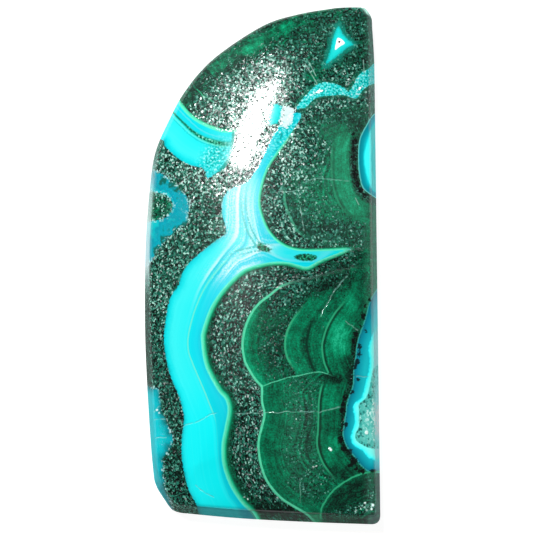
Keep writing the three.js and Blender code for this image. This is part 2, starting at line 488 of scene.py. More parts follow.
def is_inside(polygon):
    """True for every point of the stone that lies within a polygon."""
    x, y = seen.T
    inside = np.zeros(len(seen), bool)
    for start, end in zip(polygon, np.roll(polygon, -1, axis=0)):
        crosses = (start[1] > y) != (end[1] > y)
        rise_px = end[1] - start[1]
        at_x = start[0] + (y - start[1]) * (end[0] - start[0]) / (rise_px if rise_px else 1.0)
        inside ^= crosses & (x < at_x)
    return inside


def front(points, beyond):
    """Signed distance from a front that runs off the stone, positive on the side of `beyond`."""
    line = smooth_line(points)
    inside = is_inside(np.vstack((line, np.array(beyond, float))))
    return np.where(inside, 1.0, -1.0) * distance_to(line)


def patch(points):
    """Signed distance from a closed outline, positive inside."""
    line = smooth_line(points, closed=True)
    return np.where(is_inside(line), 1.0, -1.0) * distance_to(line)


def spot(x, y, half_long, half_wide, turn=0.0):
    """A soft round or oval spot: 1 in its middle, fading to 0 a little past its edge."""
    turn = math.radians(turn)
    away = seen - (x, y)
    long = (away[:, 0] * math.cos(turn) + away[:, 1] * math.sin(turn)) / half_long
    wide = (away[:, 1] * math.cos(turn) - away[:, 0] * math.sin(turn)) / half_wide
    return np.exp(-(long ** 2 + wide ** 2) ** 1.5)


def fade(values, low, high):
    """Goes smoothly from 0 to 1 while the values go from low to high."""
    t = np.clip((values - low) / (high - low), 0.0, 1.0)
    return t * t * (3.0 - 2.0 * t)


def smooth_maximum(a, b, blend):
    """The larger of two distances, with the crease between them rounded off."""
    return 0.5 * (a + b + np.sqrt((a - b) ** 2 + blend ** 2))


LEFT_OFF, RIGHT_OFF = -BEYOND, PHOTO_PX + BEYOND
ABOVE_OFF, BELOW_OFF = -BEYOND, PHOTO_PX + BEYOND
RIGHT_AND_BELOW = [(RIGHT_OFF, 60), (RIGHT_OFF, BELOW_OFF), (205, BELOW_OFF)]
LEFT_AND_ABOVE = [(RIGHT_OFF, 60), (RIGHT_OFF, ABOVE_OFF), (LEFT_OFF, ABOVE_OFF), (LEFT_OFF, 95)]

# %% [markdown]
# The turquoise ribbon lies between two fronts. Its outer edge runs up from the foot, round the two
# green lobes and over the top of the upper one as a thin wavy vein. Its inner edge is where the
# malachite of each lobe begins. A second turquoise ribbon crosses the sweep and joins the first
# under the glare. The two lobes meet in a cleft, which the ribbon fills as a pointed tail.

# %% Fronts of the turquoise ribbon
VEIN_TOP_PX = [(297, 105), (302, 99), (309, 91.5), (317, 84.5), (326, 82), (336, 84), (343, 87), (348, 90.5),
               (350, 90), (354, 83.5), (357, 77.5), (362, 72), (368, 69.5), (373, 64), (400, 48)]
VEIN_BOTTOM_PX = [(297, 107.5), (302, 108.5), (307, 106.5), (311, 102), (316, 98), (324, 96), (332, 95.5),
                  (340, 95), (346, 95.5), (351, 97.5), (356, 98.5), (359, 96), (362, 91), (366, 87.5),
                  (373, 84), (400, 78)]
RIBBON_OUTER_PX = [(208, 560), (198, 510), (188, 488), (182, 460), (182, 435), (184, 418), (179, 397),
                   (170, 375), (165, 352), (164, 335), (167, 311), (171, 296), (178, 286), (182, 274),
                   (189, 263), (205, 249), (218, 239), (226, 233), (225, 226), (222, 215), (222, 202),
                   (229, 190), (247, 182), (254, 173), (260, 164), (267, 148), (274, 134.5), (282, 123),
                   (290, 114.5), (295, 108.5)]
LOWER_RIM_PX = [(400, 246), (375, 247), (354, 248.6), (338, 254), (320, 261), (308, 267.5), (300, 266.5),
                (290, 263.5), (278, 262.5), (265, 264), (250, 268), (240, 273.5), (225, 288), (212, 307),
                (203.5, 330), (202.5, 342), (206.5, 366), (219, 390), (226, 398), (229, 410), (226, 428),
                (223, 445), (224, 465), (231, 485), (242, 502), (256, 518), (275, 560)]
UPPER_RIM_PX = [(400, 248), (375, 248.5), (354, 248.8), (345, 249), (330, 250), (303, 250.5), (287, 247),
                (274, 238), (265, 225), (259, 205), (261, 186), (267, 168), (276, 154), (287, 139),
                (295, 127), (301, 117), (300, 111)]
LOWER_PALE_PX = [(400, 247), (360, 248.3), (330, 252.5), (310, 257), (285, 255), (268, 249.5), (258, 248.5),
                 (245, 251), (234, 254.5), (222, 265), (207, 284), (196, 307), (189, 332), (188, 348),
                 (192, 362), (203, 388), (209, 403), (215, 419), (217, 435), (218, 452), (221, 475),
                 (228, 495), (240, 513), (258, 560)]
UPPER_PALE_PX = [(400, 245.5), (358, 247.8), (330, 251), (303, 251.5), (285, 249), (262, 246), (256, 242),
                 (248, 227), (243.5, 207), (244, 188), (250, 172), (262, 151), (274, 132), (286, 117)]
SWEEP_OUTER_PX = [(130, 128), (161, 139), (165, 146), (175, 156), (185, 162.5), (195, 166.5), (202, 167.5),
                  (205, 172), (207, 178.5), (211, 177), (218, 172.5), (226, 168), (231, 160), (233, 150),
                  (240, 144), (250, 139), (262, 132), (272, 127), (281, 120), (288, 110)]
SWEEP_RIM_PX = [(150, 60), (165, 83), (173, 95), (181, 105.5), (190, 115.5), (200, 122.5), (212, 128), (225, 131.5),
                (238, 130), (252, 118), (263, 108), (272, 103.5), (281, 104), (289, 106)]
SWEEP_VEIN_PX = [(145, 72), (158, 92), (168, 106), (176, 115.5), (184, 123.5), (192, 131), (201, 137), (211, 141),
                 (222, 143.5), (234, 143), (248, 135), (260, 122), (272, 104), (285, 60)]
SWEEP_END_PX = [(246, 60), (239, 118), (235.5, 130), (234.5, 142), (233, 152), (230, 160), (224, 169),
                (214, 184), (200, 230)]

lower_rim = front(LOWER_RIM_PX, [(240, BELOW_OFF), (RIGHT_OFF, BELOW_OFF), (RIGHT_OFF, 246)])
upper_rim = front(UPPER_RIM_PX + VEIN_BOTTOM_PX, [(RIGHT_OFF, 80), (RIGHT_OFF, 248)])
sweep_end = front(SWEEP_END_PX, [(LEFT_OFF, 230), (LEFT_OFF, 60)])
lower_pale = front(LOWER_PALE_PX, [(250, BELOW_OFF), (RIGHT_OFF, BELOW_OFF), (RIGHT_OFF, 247)])
upper_pale = front(UPPER_PALE_PX + VEIN_BOTTOM_PX, [(RIGHT_OFF, 80), (RIGHT_OFF, 245)])
layers = {
    "ribbon_outer": np.maximum(
        front(RIBBON_OUTER_PX + VEIN_TOP_PX, RIGHT_AND_BELOW),
        np.minimum(front(SWEEP_OUTER_PX + VEIN_BOTTOM_PX, LEFT_AND_ABOVE), sweep_end)),
    "sweep_end": sweep_end,
    "ribbon_pale": np.maximum(lower_pale, upper_pale),
    "rim": np.maximum(lower_rim, upper_rim),
    "sweep_rim": front(SWEEP_RIM_PX + VEIN_TOP_PX, LEFT_AND_ABOVE),
    "sweep_vein": front(SWEEP_VEIN_PX, LEFT_AND_ABOVE[1:]),
}
print("share of the stone inside the ribbon:", round(float((layers["ribbon_outer"] > 0).mean()), 3))

# %% [markdown]
# Inside the rim of the lower lobe come a coarse layer and then a bright thin front, made of an
# upper and a lower bulge that meet along a seam. Each bulge has finer fronts of its own. The upper
# lobe has the same order of layers, less sharply drawn.

# %% Fronts inside the two lobes
UPPER_BULGE_PX = [(400, 262), (360, 267), (340, 271), (318, 276.5), (300, 281), (290, 283), (280, 287),
                  (270, 295), (262, 301), (255, 308), (250, 316), (246, 325), (243.5, 335), (242.5, 345),
                  (243.5, 355), (246, 364), (255, 379), (262.5, 387)]
SEAM_PX = [(250, 394), (263, 386), (280, 380), (290, 377), (300, 375.5), (310, 373), (320, 372), (328, 374),
           (345, 379), (400, 388)]
LOWER_BULGE_PX = [(300, 340), (275, 362), (263, 378), (262, 392), (262, 402), (264.5, 414), (262, 426),
                  (259, 438), (258.5, 448), (260.5, 463), (267, 481), (281, 498), (300, 510), (310, 517),
                  (335, 545)]
UPPER_LOBE_FRONT_PX = [(400, 236), (345, 250), (325, 247), (312, 243), (303, 236), (296, 229), (288, 212),
                       (285, 203), (284, 185), (284, 170), (290, 150), (297, 136), (312, 118), (345, 106),
                       (400, 100)]
SECOND_FRONT_PX = [(330, 270), (312, 293), (300, 310), (294, 318), (289, 327), (286, 336), (285, 345),
                   (286, 353), (289, 361), (300, 380), (312, 400)]
DARK_FRONT_PX = [(336, 290), (322, 306), (312, 322), (309, 330), (306.5, 345), (308, 353), (312, 366),
                 (322, 385)]
THIRD_FRONT_PX = [(356, 275), (349, 292), (344, 302), (335, 313), (327, 327), (323, 340), (322, 348),
                  (324, 362), (328, 372), (336, 392)]
LOWER_THIRD_PX = [(330, 362), (322, 385), (319, 400), (318.5, 410), (318, 430), (317, 440), (318, 450),
                  (324, 465), (336, 480), (352, 496)]
UPPER_FINE_PX = [(345, 115), (334, 140), (332, 150), (331.5, 170), (333, 186), (338, 201), (347, 214),
                 (358, 221), (380, 228)]

RIGHT_SIDE = [(RIGHT_OFF, 600), (RIGHT_OFF, -40)]
upper_bulge = front(UPPER_BULGE_PX, list(reversed(SEAM_PX[4:])))
seam_side = front(SEAM_PX, [(RIGHT_OFF, 388), (RIGHT_OFF, ABOVE_OFF), (LEFT_OFF, ABOVE_OFF), (LEFT_OFF, 394)])
bulge_shape = is_inside(np.vstack((smooth_line(UPPER_BULGE_PX), smooth_line(SEAM_PX)[8:])))
upper_bulge = np.where(bulge_shape, 1.0, -1.0) * np.abs(upper_bulge)
lower_bulge = front(LOWER_BULGE_PX, [(RIGHT_OFF, 545), (RIGHT_OFF, 340)])
upper_front = front(UPPER_LOBE_FRONT_PX, [(RIGHT_OFF, 100), (RIGHT_OFF, 236)])
in_upper_lobe = upper_rim > 0
second = front(SECOND_FRONT_PX, [(RIGHT_OFF, 400), (RIGHT_OFF, 270)])
dark_front = front(DARK_FRONT_PX, [(RIGHT_OFF, 385), (RIGHT_OFF, 290)])
upper_third = front(THIRD_FRONT_PX, [(RIGHT_OFF, 392), (RIGHT_OFF, 275)])
lower_third = front(LOWER_THIRD_PX, [(RIGHT_OFF, 496), (RIGHT_OFF, 362)])
upper_fine = front(UPPER_FINE_PX, [(RIGHT_OFF, 228), (RIGHT_OFF, 115)])
below_seam = seam_side < 0
layers["bright_front"] = np.where(in_upper_lobe, upper_front, np.maximum(upper_bulge, lower_bulge))
layers["second_front"] = second
layers["dark_front"] = dark_front
layers["third_front"] = np.where(in_upper_lobe, upper_fine, np.where(below_seam, lower_third, upper_third))
layers["seam"] = seam_side
print("fronts drawn:", ", ".join(layers))

# %% [markdown]
# The small turquoise places follow the same way of drawing: a pocket lined with pale crystals at
# the straight side, a plain patch above it, a ring and a patch on the long side, a bright triangle
# near the narrow end, and a rounded dark lobe in the square corner.

# %% Pockets and patches
POCKET_PX = [(400, 262), (376, 290), (369, 303), (366, 315), (362, 327), (358, 338), (356, 350), (354.5, 362),
             (353, 371), (353, 380), (351.5, 389), (348, 398), (346.2, 406), (345, 416), (343.5, 427),
             (342.5, 435), (345, 444), (349, 451), (354, 457), (360, 465), (367, 471), (378, 473), (400, 475)]
POCKET_BAND_PX = [(400, 290), (378, 322), (370, 340), (368, 350), (369, 360), (368, 372), (366, 380),
                  (361, 397), (355, 402), (352.5, 407), (354, 416), (354, 425), (351, 433), (351, 441),
                  (354, 446), (362, 451), (370, 459), (385, 462), (400, 464)]
DRUSE_PX = [(400, 350), (376, 366), (372, 375), (369, 390), (366, 398), (359, 404), (359, 412), (359, 420),
            (359, 427), (355.5, 434), (356, 440), (361, 444), (370, 448), (385, 449), (400, 450)]
SIDE_PATCH_PX = [(400, 95), (375, 113), (366, 126), (360, 138), (358.3, 150), (358.3, 165), (360, 179),
                 (363, 188), (371, 195), (385, 203), (400, 210)]
SIDE_PATCH_CORE_PX = [(400, 110), (374, 126), (368, 137), (364.5, 150), (363.5, 160), (366, 175),
                      (371, 188), (385, 197), (400, 200)]
RING_PX = [(130, 150), (150, 169), (160, 172), (170, 180), (178, 187), (186, 195), (189, 201), (188, 211),
           (187, 225), (180, 228), (169, 236), (158, 250), (151, 261), (130, 280)]
RING_CORE_PX = [(144, 190), (155, 192), (164, 194), (171, 200), (173, 208), (169, 215), (162, 219),
                (152, 221), (143, 220)]
LONG_SIDE_PATCH_PX = [(120, 378), (150, 387), (158, 388), (160, 397), (163, 413), (170, 430), (173, 440),
                      (169, 452), (164, 458), (163, 470), (167, 492), (172, 520), (140, 540)]
TRIANGLE_PX = [(338.5, 25), (342, 31), (347, 37.5), (354.5, 44.5), (348, 48), (342, 53), (336, 58), (330, 62.5),
               (325, 66), (327, 58), (330, 49), (332, 39), (335, 31)]
TRIANGLE_CORE_PX = [(338, 37.5), (345, 43), (340, 46), (335, 50), (336, 44)]
TRIANGLE_PIT_PX = (339.3, 41.8)
CORNER_LOBE_PX = [(400, 470), (372, 472), (358, 475), (346, 481), (334, 490), (326, 500), (321, 511),
                  (322, 525), (330, 545)]
CLEFT_LENS_PX = [(257, 246), (259, 242.5), (263, 245), (271, 249.5), (268, 251.5), (260, 250)]
TAIL_LENS_PX = [(294, 257), (300, 254.5), (309, 254.5), (317, 257), (312, 260.5), (300, 260)]
GLARE_BLOB_PX = [(265, 117), (266, 109), (272, 104), (279, 104), (283, 108), (283, 115), (279, 122),
                 (272, 126), (267, 123)]
# Painted highlight: the white of the glare between the cyan blob and the vein.
PAINTED_GLARE_WHITE_PX = [(283, 108), (289, 106), (296, 112), (292, 119), (287, 126), (281, 127), (282, 117)]
VEIN_GAP_PX = [(284, 102), (293, 100), (300, 103), (296.5, 106), (297.5, 109.5), (304, 111), (302, 113.5),
               (293, 113), (287, 120), (284, 121), (283, 112)]

layers["pocket"] = front(POCKET_PX, [(RIGHT_OFF, 474), (RIGHT_OFF, 262)])
layers["pocket_band"] = front(POCKET_BAND_PX, [(RIGHT_OFF, 464), (RIGHT_OFF, 290)])
layers["druse"] = front(DRUSE_PX, [(RIGHT_OFF, 450), (RIGHT_OFF, 350)])
layers["side_patch"] = front(SIDE_PATCH_PX, [(RIGHT_OFF, 210), (RIGHT_OFF, 95)])
layers["side_patch_core"] = front(SIDE_PATCH_CORE_PX, [(RIGHT_OFF, 200), (RIGHT_OFF, 110)])
layers["ring"] = front(RING_PX, [(LEFT_OFF, 280), (LEFT_OFF, 150)])
layers["ring_core"] = patch(RING_CORE_PX)
layers["long_side_patch"] = patch(LONG_SIDE_PATCH_PX)
layers["triangle"] = patch(TRIANGLE_PX)
layers["triangle_core"] = patch(TRIANGLE_CORE_PX)
layers["corner_lobe"] = front(CORNER_LOBE_PX, [(RIGHT_OFF, 545), (RIGHT_OFF, 470)])
layers["lens"] = np.maximum(patch(CLEFT_LENS_PX), patch(TAIL_LENS_PX))
layers["glare_blob"] = patch(GLARE_BLOB_PX)
layers["painted_glare_white"] = patch(PAINTED_GLARE_WHITE_PX)
layers["vein_gap"] = patch(VEIN_GAP_PX)
layers["triangle_pit"] = 0.09 - np.hypot(*(seen - TRIANGLE_PIT_PX).T) / PX_PER_MM
print("patches drawn:", len(layers), "layers in all")

# %% [markdown]
# Malachite is pale where its fibres are short and silky, and nearly black where they are long and
# coarse. Two more numbers say this for every point: `shade`, from nearly black at 0 to bright green
# at 1, and `grain`, from silky at 0 to coarse and sparkling at 1. Within a band both change with
# the distance from its front, and a few soft spots add what follows no front.

# %% Shade and grain of the green rock
def along_front(distance, steps):
    """Reads a value off a short list of (distance in mm, value) pairs."""
    return np.interp(distance, [step[0] for step in steps], [step[1] for step in steps])


x_px, y_px = seen.T
OUTSIDE_SHADE, OUTSIDE_GRAIN = 0.42, 1.0
shade = np.full(len(seen), OUTSIDE_SHADE)
grain = np.full(len(seen), OUTSIDE_GRAIN)


def lay(mask, new_shade, new_grain):
    """Lays a zone over what is there."""
    shade[:] += (new_shade - shade) * mask
    grain[:] += (new_grain - grain) * mask


# Down the long side the coarse rock is darker
lay((x_px < 215) * fade(y_px, 290, 350), 0.18, 1.0)
lay(fade(layers["ring_core"], -0.05, 0.1), 0.52, 0.72)

# Over the sweep: coarse rock by the ribbon, then smoother green patches along the edge
over_sweep = layers["sweep_rim"] > 0
green_spots = np.clip(
    spot(252, 47, 19, 9, -28) + 0.75 * spot(282, 30, 17, 6, -22) + 0.55 * spot(219, 64, 20, 7, -38)
    + 0.45 * spot(300, 20, 26, 7, -12) + 0.3 * spot(185, 101, 12, 5, 40), 0, 1)
dark_spots = np.clip(spot(199, 87, 15, 7, -42) + 0.8 * spot(236, 66, 26, 9, -30)
                     + 0.6 * spot(318, 22, 40, 10, -5) + 0.6 * spot(362, 26, 12, 22, 0), 0, 1)
edge_calm = fade(spot(205, 75, 55, 16, -40) + spot(285, 32, 70, 15, -22), 0.2, 0.7)
lay(over_sweep * edge_calm, 0.32, 0.6)
lay(over_sweep * green_spots, 0.66, 0.12)
lay(over_sweep * dark_spots * (1 - green_spots), 0.2, 0.5)
green_bridge = spot(312, 77, 7, 5, 0) + 0.6 * spot(318, 70, 7, 7, 0) + 0.5 * spot(339, 19, 2.5, 12, 0)
green_bridge = green_bridge + 0.5 * spot(362, 43, 14, 2.5, 0)
lay(over_sweep * spot(342, 42, 48, 26, 0), 0.3, 0.66)
lay(over_sweep * np.clip(green_bridge, 0, 1), 0.5, 0.35)

# Lower lobe: a dark silky strip behind the rim, widest at the foot, then the coarse layer
strip_mm = np.interp(y_px, (262, 285, 330, 450, 520), (0.15, 0.3, 0.55, 0.75, 1.1))
behind_rim = np.clip(lower_rim / strip_mm, 0.0, 3.0)
in_lower = fade(lower_rim, 0.0, 0.08) * ~in_upper_lobe
lay(in_lower, along_front(behind_rim, [(0, 0.5), (0.35, 0.42), (0.9, 0.34), (1.2, 0.4)]),
    along_front(behind_rim, [(0, 0.2), (0.6, 0.4), (1.1, 1.0)]))
lay(in_lower * spot(282, 512, 34, 9, 8), 0.12, 0.35)
lay(in_lower * spot(345, 262, 60, 9, -8), 0.3, 0.75)

# Lower lobe, upper bulge
in_bulge = fade(upper_bulge, -0.05, 0.05) * ~in_upper_lobe
lay(in_bulge, along_front(upper_bulge, [(0, 0.82), (0.3, 0.7), (0.6, 0.54), (1.2, 0.42), (1.8, 0.34), (3.0, 0.3)]),
    along_front(upper_bulge, [(0, 0.03), (0.35, 0.12), (1.0, 0.36), (2.0, 0.5), (3.2, 0.55)]))
in_second = in_bulge * fade(second, -0.05, 0.05)
lay(in_second, along_front(second, [(0, 0.66), (0.35, 0.56), (0.6, 0.62), (1.0, 0.52), (1.3, 0.36)]),
    along_front(second, [(0, 0.04), (0.6, 0.16), (1.3, 0.2)]))
in_dark = in_bulge * fade(dark_front, -0.05, 0.05)
lay(in_dark, along_front(dark_front, [(0, 0.3), (0.25, 0.5), (0.8, 0.56), (1.2, 0.5)]),
    along_front(dark_front, [(0, 0.1), (0.5, 0.12)]))
in_third = in_bulge * fade(upper_third, -0.05, 0.05)
lay(in_third, along_front(upper_third, [(0, 0.42), (0.2, 0.5), (2.0, 0.46)]), 0.02)
lay(in_third * np.clip(spot(339, 337, 21, 10, 96) + 0.5 * spot(351, 303, 14, 7, 100), 0, 1), 0.92, 0.0)
lay(in_third * spot(353, 366, 9, 10, 0), 0.18, 0.1)
lay(in_bulge * spot(285, 300, 28, 9, -35) * (second < 0), 0.3, 0.6)
lay(in_bulge * spot(320, 285, 30, 9, -20), 0.14, 0.62)
lay(in_bulge * np.clip(1.3 * spot(293, 290, 34, 12, -28), 0, 1), 0.3, 0.8)

# Lower lobe, lower bulge
in_low_bulge = fade(lower_bulge, -0.05, 0.05) * ~in_upper_lobe * fade(-seam_side, -0.05, 0.05)
lay(in_low_bulge, along_front(lower_bulge, [(0, 0.6), (0.4, 0.52), (1.2, 0.5), (1.9, 0.5), (3.4, 0.52)]),
    along_front(lower_bulge, [(0, 0.02), (1.1, 0.06), (1.8, 0.38), (3.2, 0.48), (3.9, 0.3)]))
lay(in_low_bulge * spot(300, 440, 9, 40, 0), 0.5, 0.5)
lay(in_low_bulge * spot(307.5, 428, 3.5, 36, 0), 0.28, 0.45)
lay(in_low_bulge * spot(290, 500, 26, 8, 38), 0.56, 0.12)
lay(in_low_bulge * spot(308, 489, 24, 12, 20), 0.44, 0.55)
in_low_third = in_low_bulge * fade(lower_third, -0.05, 0.05)
lay(in_low_third, along_front(lower_third, [(0, 0.46), (0.12, 0.34), (0.35, 0.5), (2.0, 0.4)]), 0.02)
lay(in_low_third * np.clip(spot(331, 399, 8, 12, 0) + spot(332, 448, 9, 15, 20), 0, 1), 0.7, 0.0)
lay(in_low_third * spot(334, 425, 9, 6, 0), 0.46, 0.03)
lay(in_low_third * spot(344, 475, 16, 8, -35), 0.34, 0.08)
lay((in_low_bulge + in_bulge) * spot(335, 378, 18, 5, 5), 0.22, 0.06)

# Upper lobe
in_up = fade(upper_rim, 0.0, 0.06)
lay(in_up, 0.4, 1.0)
in_up_front = in_up * fade(upper_front, -0.06, 0.06)
lay(in_up_front, along_front(upper_front, [(0, 0.44), (0.6, 0.5), (1.6, 0.54), (3.0, 0.6)]),
    along_front(upper_front, [(0, 0.8), (0.8, 0.68), (2.0, 0.58), (3.2, 0.36)]))
lay(in_up_front * spot(303, 150, 22, 26, 60), 0.48, 1.0)
lay(in_up_front * spot(335, 116, 40, 14, 0), 0.44, 0.75)
lay(in_up_front * spot(335, 132, 14, 10, 0), 0.5, 0.3)
lay(in_up_front * spot(296, 222, 22, 11, 55), 0.3, 0.6)
lay(in_up_front * spot(330, 230, 30, 9, 8), 0.3, 0.75)
in_fine = in_up_front * fade(upper_fine, -0.04, 0.04)
lay(in_fine * fade(y_px, 118, 145) * (1 - fade(y_px, 212, 232)),
    along_front(upper_fine, [(0, 0.34), (0.12, 0.62), (0.5, 0.74), (1.2, 0.78), (1.7, 0.5)]), 0.04)
black_strip = 1 - fade(np.abs(layers["side_patch"] + 0.3), 0.2, 0.42)
lay(in_up_front * black_strip * fade(y_px, 128, 142), 0.3, 0.7)
lay(spot(356, 122, 9, 12, 0) * in_up, 0.26, 0.5)

# Round the pocket, in the corner and down the straight side
near_pocket = 1 - fade(-layers["pocket"], 0.05, 0.5)
lay(near_pocket * (layers["pocket"] < 0) * fade(y_px, 318, 345) * (1 - fade(y_px, 448, 476)), 0.2, 0.35)
lay((layers["pocket"] < 0) * spot(366, 270, 12, 24, 0), 0.42, 0.2)
in_corner = fade(layers["corner_lobe"], -0.05, 0.05)
lay(in_corner, along_front(layers["corner_lobe"], [(0, 0.4), (0.3, 0.24), (2.5, 0.18)]),
    along_front(layers["corner_lobe"], [(0, 0.15), (0.4, 0.1)]))
lay(in_corner * spot(357, 510, 30, 9, -12), 0.34, 0.78)
lay(in_corner * spot(371, 492, 5, 22, 0), 0.5, 0.62)
lay(spot(364, 506, 7, 3, -45), 0.75, 0.9)
# Down the straight edge the green is painted lighter, as painted light against the slope turned from the lamp; a
# painted veil lies over it too.
right_edge = fade(x_px, 361, 371) * (layers["pocket"] < 0) * (layers["side_patch"] < 0)
lay(right_edge * (y_px > 205) * (1 - in_corner), 0.54, 0.35)

layers["shade"] = np.clip(shade, 0, 1)
layers["grain"] = np.clip(grain, 0, 1)
layers["rim_light"] = fade(y_px, 122, 150) * (1 - 0.05 * fade(y_px, 330, 480)) * (1 - fade(x_px, 342, 356))
layers["front_light"] = np.where(
    in_upper_lobe, 0.35 * fade(y_px, 182, 196) * (1 - fade(y_px, 226, 240)),
    np.clip(1 - fade(x_px, 270, 302) * (y_px < 340) - 0.75 * fade(x_px, 300, 316) * (y_px > 490), 0, 1))
layers["second_light"] = in_bulge * fade(y_px, 302, 322) * (1 - fade(y_px, 360, 370))
layers["dark_light"] = in_bulge * fade(y_px, 312, 330)
layers["third_light"] = np.where(
    in_upper_lobe, 0.5 * in_up_front * fade(y_px, 138, 150) * (1 - fade(y_px, 205, 218)),
    in_bulge * fade(y_px, 296, 312) + in_low_bulge * fade(y_px, 380, 390) * (1 - fade(y_px, 466, 482)))
layers["seam_light"] = (lower_rim > 0) * fade(x_px, 261, 266) * (1 - fade(x_px, 324, 334))
# Towards the foot the ribbon is painted brighter, as painted light, and its inner streak deepens.
layers["foot_light_and_depth"] = 0.85 * fade(y_px, 350, 430)
layers["rim_shadow"] = fade(y_px, 290, 340)
layers["rim_wide"] = np.interp(y_px, (248, 275, 330, 440), (0.5, 0.8, 0.92, 0.95))
layers["pale_light"] = fade(y_px, 254, 266) * (1 - 0.92 * fade(y_px, 405, 425))
layers["pale_dark"] = fade(y_px, 176, 190) * (1 - fade(y_px, 250, 260)) * (1 - fade(x_px, 266, 276))
# Painted highlight: where the haze of the glare falls on the ribbon below it.
haze = np.clip(1.1 * spot(238, 215, 44, 19, 78) + 1.3 * spot(240, 258, 34, 12, -30), 0, 1)
layers["haze"] = haze
near_pale = (1 - fade(np.abs(layers["ribbon_pale"]), 0.3, 0.8)) * (1 - fade(y_px, 262, 320))
in_tail = fade(x_px, 272, 296) * (y_px > 200)
# Streaks show near the pale line, and more under the painted haze of the glare, where their pale part is painted
# highlight.
layers["streak_light"] = np.clip(0.04 + 0.7 * near_pale * (1 - 0.6 * in_tail) + haze * 0.4, 0, 1)
# Painted veil: a pale veil of reflected light painted into the colour over the upper lobe, down the straight edge and
# in two spots.
layers["painted_veil"] = np.clip(in_up * (1 - 0.7 * layers["grain"]) + 0.8 * spot(215, 75, 55, 18, -40) + right_edge
                         + 0.5 * spot(300, 440, 20, 60, 0), 0, 1)
layers["satin"] = fade(y_px, 165, 190)
layers["sweep_vein_light"] = (1 - 0.9 * fade(x_px, 212, 236)) * (y_px < 160)
layers["vein_width"] = np.interp(x_px, (168, 186, 200, 220), (0.06, 0.08, 0.12, 0.17))
layers["vein_speckle"] = fade(x_px, 180, 198)
layers["sweep_light"] = 1 - fade(x_px, 215, 250)
layers["corner_light"] = 1 - fade(y_px, 512, 522)
layers["patchy"] = over_sweep * edge_calm
layers["vein_core"] = 0.82 * np.clip(
    spot(316, 93, 9, 2.0, -28) + spot(322, 90.5, 5, 1.6, -5) + spot(359.5, 88.5, 6, 1.9, -50)
    + 0.6 * spot(372, 74, 5, 2, -60) + 0.5 * spot(339, 89, 6, 1.5, 10), 0, 1)
layers["halo"] = fade(x_px, 294, 300) * (y_px < 114)
layers["dark_over_vein"] = np.clip(
    spot(326, 80.5, 7, 1.0, 8) + spot(342, 84.8, 7, 1.1, 20) + 0.6 * spot(320, 99.5, 12, 1.2, -12)
    + 0.6 * spot(343, 98, 12, 1.2, 4) + 0.8 * spot(299, 110, 5, 2.2, 20), 0, 1)
layers["row_depth"] = lower_rim
layers["rows"] = in_lower * (1 - in_bulge) * (1 - in_low_bulge)
layers["streak_depth"] = np.where(
    (x_px < 262) & (y_px < 180) & (front(SWEEP_OUTER_PX, LEFT_AND_ABOVE) > -0.3),
    layers["sweep_vein"], smooth_maximum(lower_pale, upper_pale, 2.0))
layers["crumbly"] = np.clip(
    spot(216, 158, 13, 20, 30) + fade(x_px, 295, 300) * (y_px < 112) * (layers["rim"] < 0.3)
    + 0.5 * spot(273, 114, 12, 12) + 0.75 * spot(284, 136, 26, 11, -60), 0, 1)
layers["growth"] = np.select(
    [in_corner > 0.5, in_upper_lobe & (upper_fine > 0), in_upper_lobe, (in_low_bulge > 0.5) & (lower_third > 0),
     (in_bulge > 0.5) & (upper_third > 0), (in_bulge > 0.5) & (dark_front > 0), (in_bulge > 0.5) & (second > 0),
     (in_bulge > 0.5) | (in_low_bulge > 0.5), lower_rim > 0, over_sweep],
    [layers["corner_lobe"], upper_fine, upper_front, lower_third, upper_third, dark_front, second,
     layers["bright_front"], lower_rim, layers["sweep_rim"]],
    -layers["ribbon_outer"])
# Pale flecks: partly pale crystal, partly painted glints of light on small pits.
FLECKS_AND_GLINTS_PX = [(329.8, 448.6, 1.4), (331, 450, 1.3), (288, 414, 0.8), (296, 419, 0.9), (313.5, 467, 1.0),
             (317, 466, 0.8), (309, 470, 0.7), (366.5, 432.5, 2.0), (374, 402, 0.8), (373, 405, 0.8),
             (157, 410, 1.0), (159, 413, 0.8), (373, 505, 1.4), (371.5, 509, 1.1), (365, 503, 1.1),
             (244, 497, 1.0), (248, 499, 0.9), (336, 71.5, 0.9), (348.5, 79.5, 1.1), (317.5, 42, 0.8)]
layers["flecks"] = np.max([(size - np.hypot(x_px - x, y_px - y)) / PX_PER_MM for x, y, size in FLECKS_AND_GLINTS_PX], axis=0)
BLACK_BLOBS_PX = [
    (355.5, 334, 2.6, 3.2), (365.5, 331, 2.2, 2.4), (353.5, 341, 2, 2.4), (360, 347, 2.6, 2.6), (359.5, 354, 2.6, 2.8),
    (357.5, 362, 2.8, 3.4), (355, 367, 2.2, 2.4), (358, 379.5, 2.8, 2.2), (352.5, 392, 1.8, 1.8), (344.5, 398, 2.8, 2.4),
    (342.5, 404, 2.2, 2), (341.5, 410, 2.4, 2.4), (346.5, 425, 2, 2.6), (340.5, 440, 2.6, 3.6), (343.5, 449, 3.4, 2.6),
    (350, 451, 3, 2.2), (354, 461, 3.6, 3.2), (350.5, 465, 3, 2.6), (362, 472, 4.4, 2.6), (356, 469, 2.4, 2),
    (373, 471, 4, 2.4), (365, 306, 2, 3), (363, 316, 2.6, 3), (369.5, 300, 2, 2.6), (354.5, 141, 2.4, 3.4),
    (353.5, 149, 2.4, 3.4), (353.5, 158, 2.8, 3.6), (354, 167, 2.6, 3.4), (355, 175, 2.8, 3.6), (357, 184, 3, 3),
    (360.5, 190, 3, 2.6), (364.5, 195, 3, 2.4), (353, 134, 2, 2.4)]
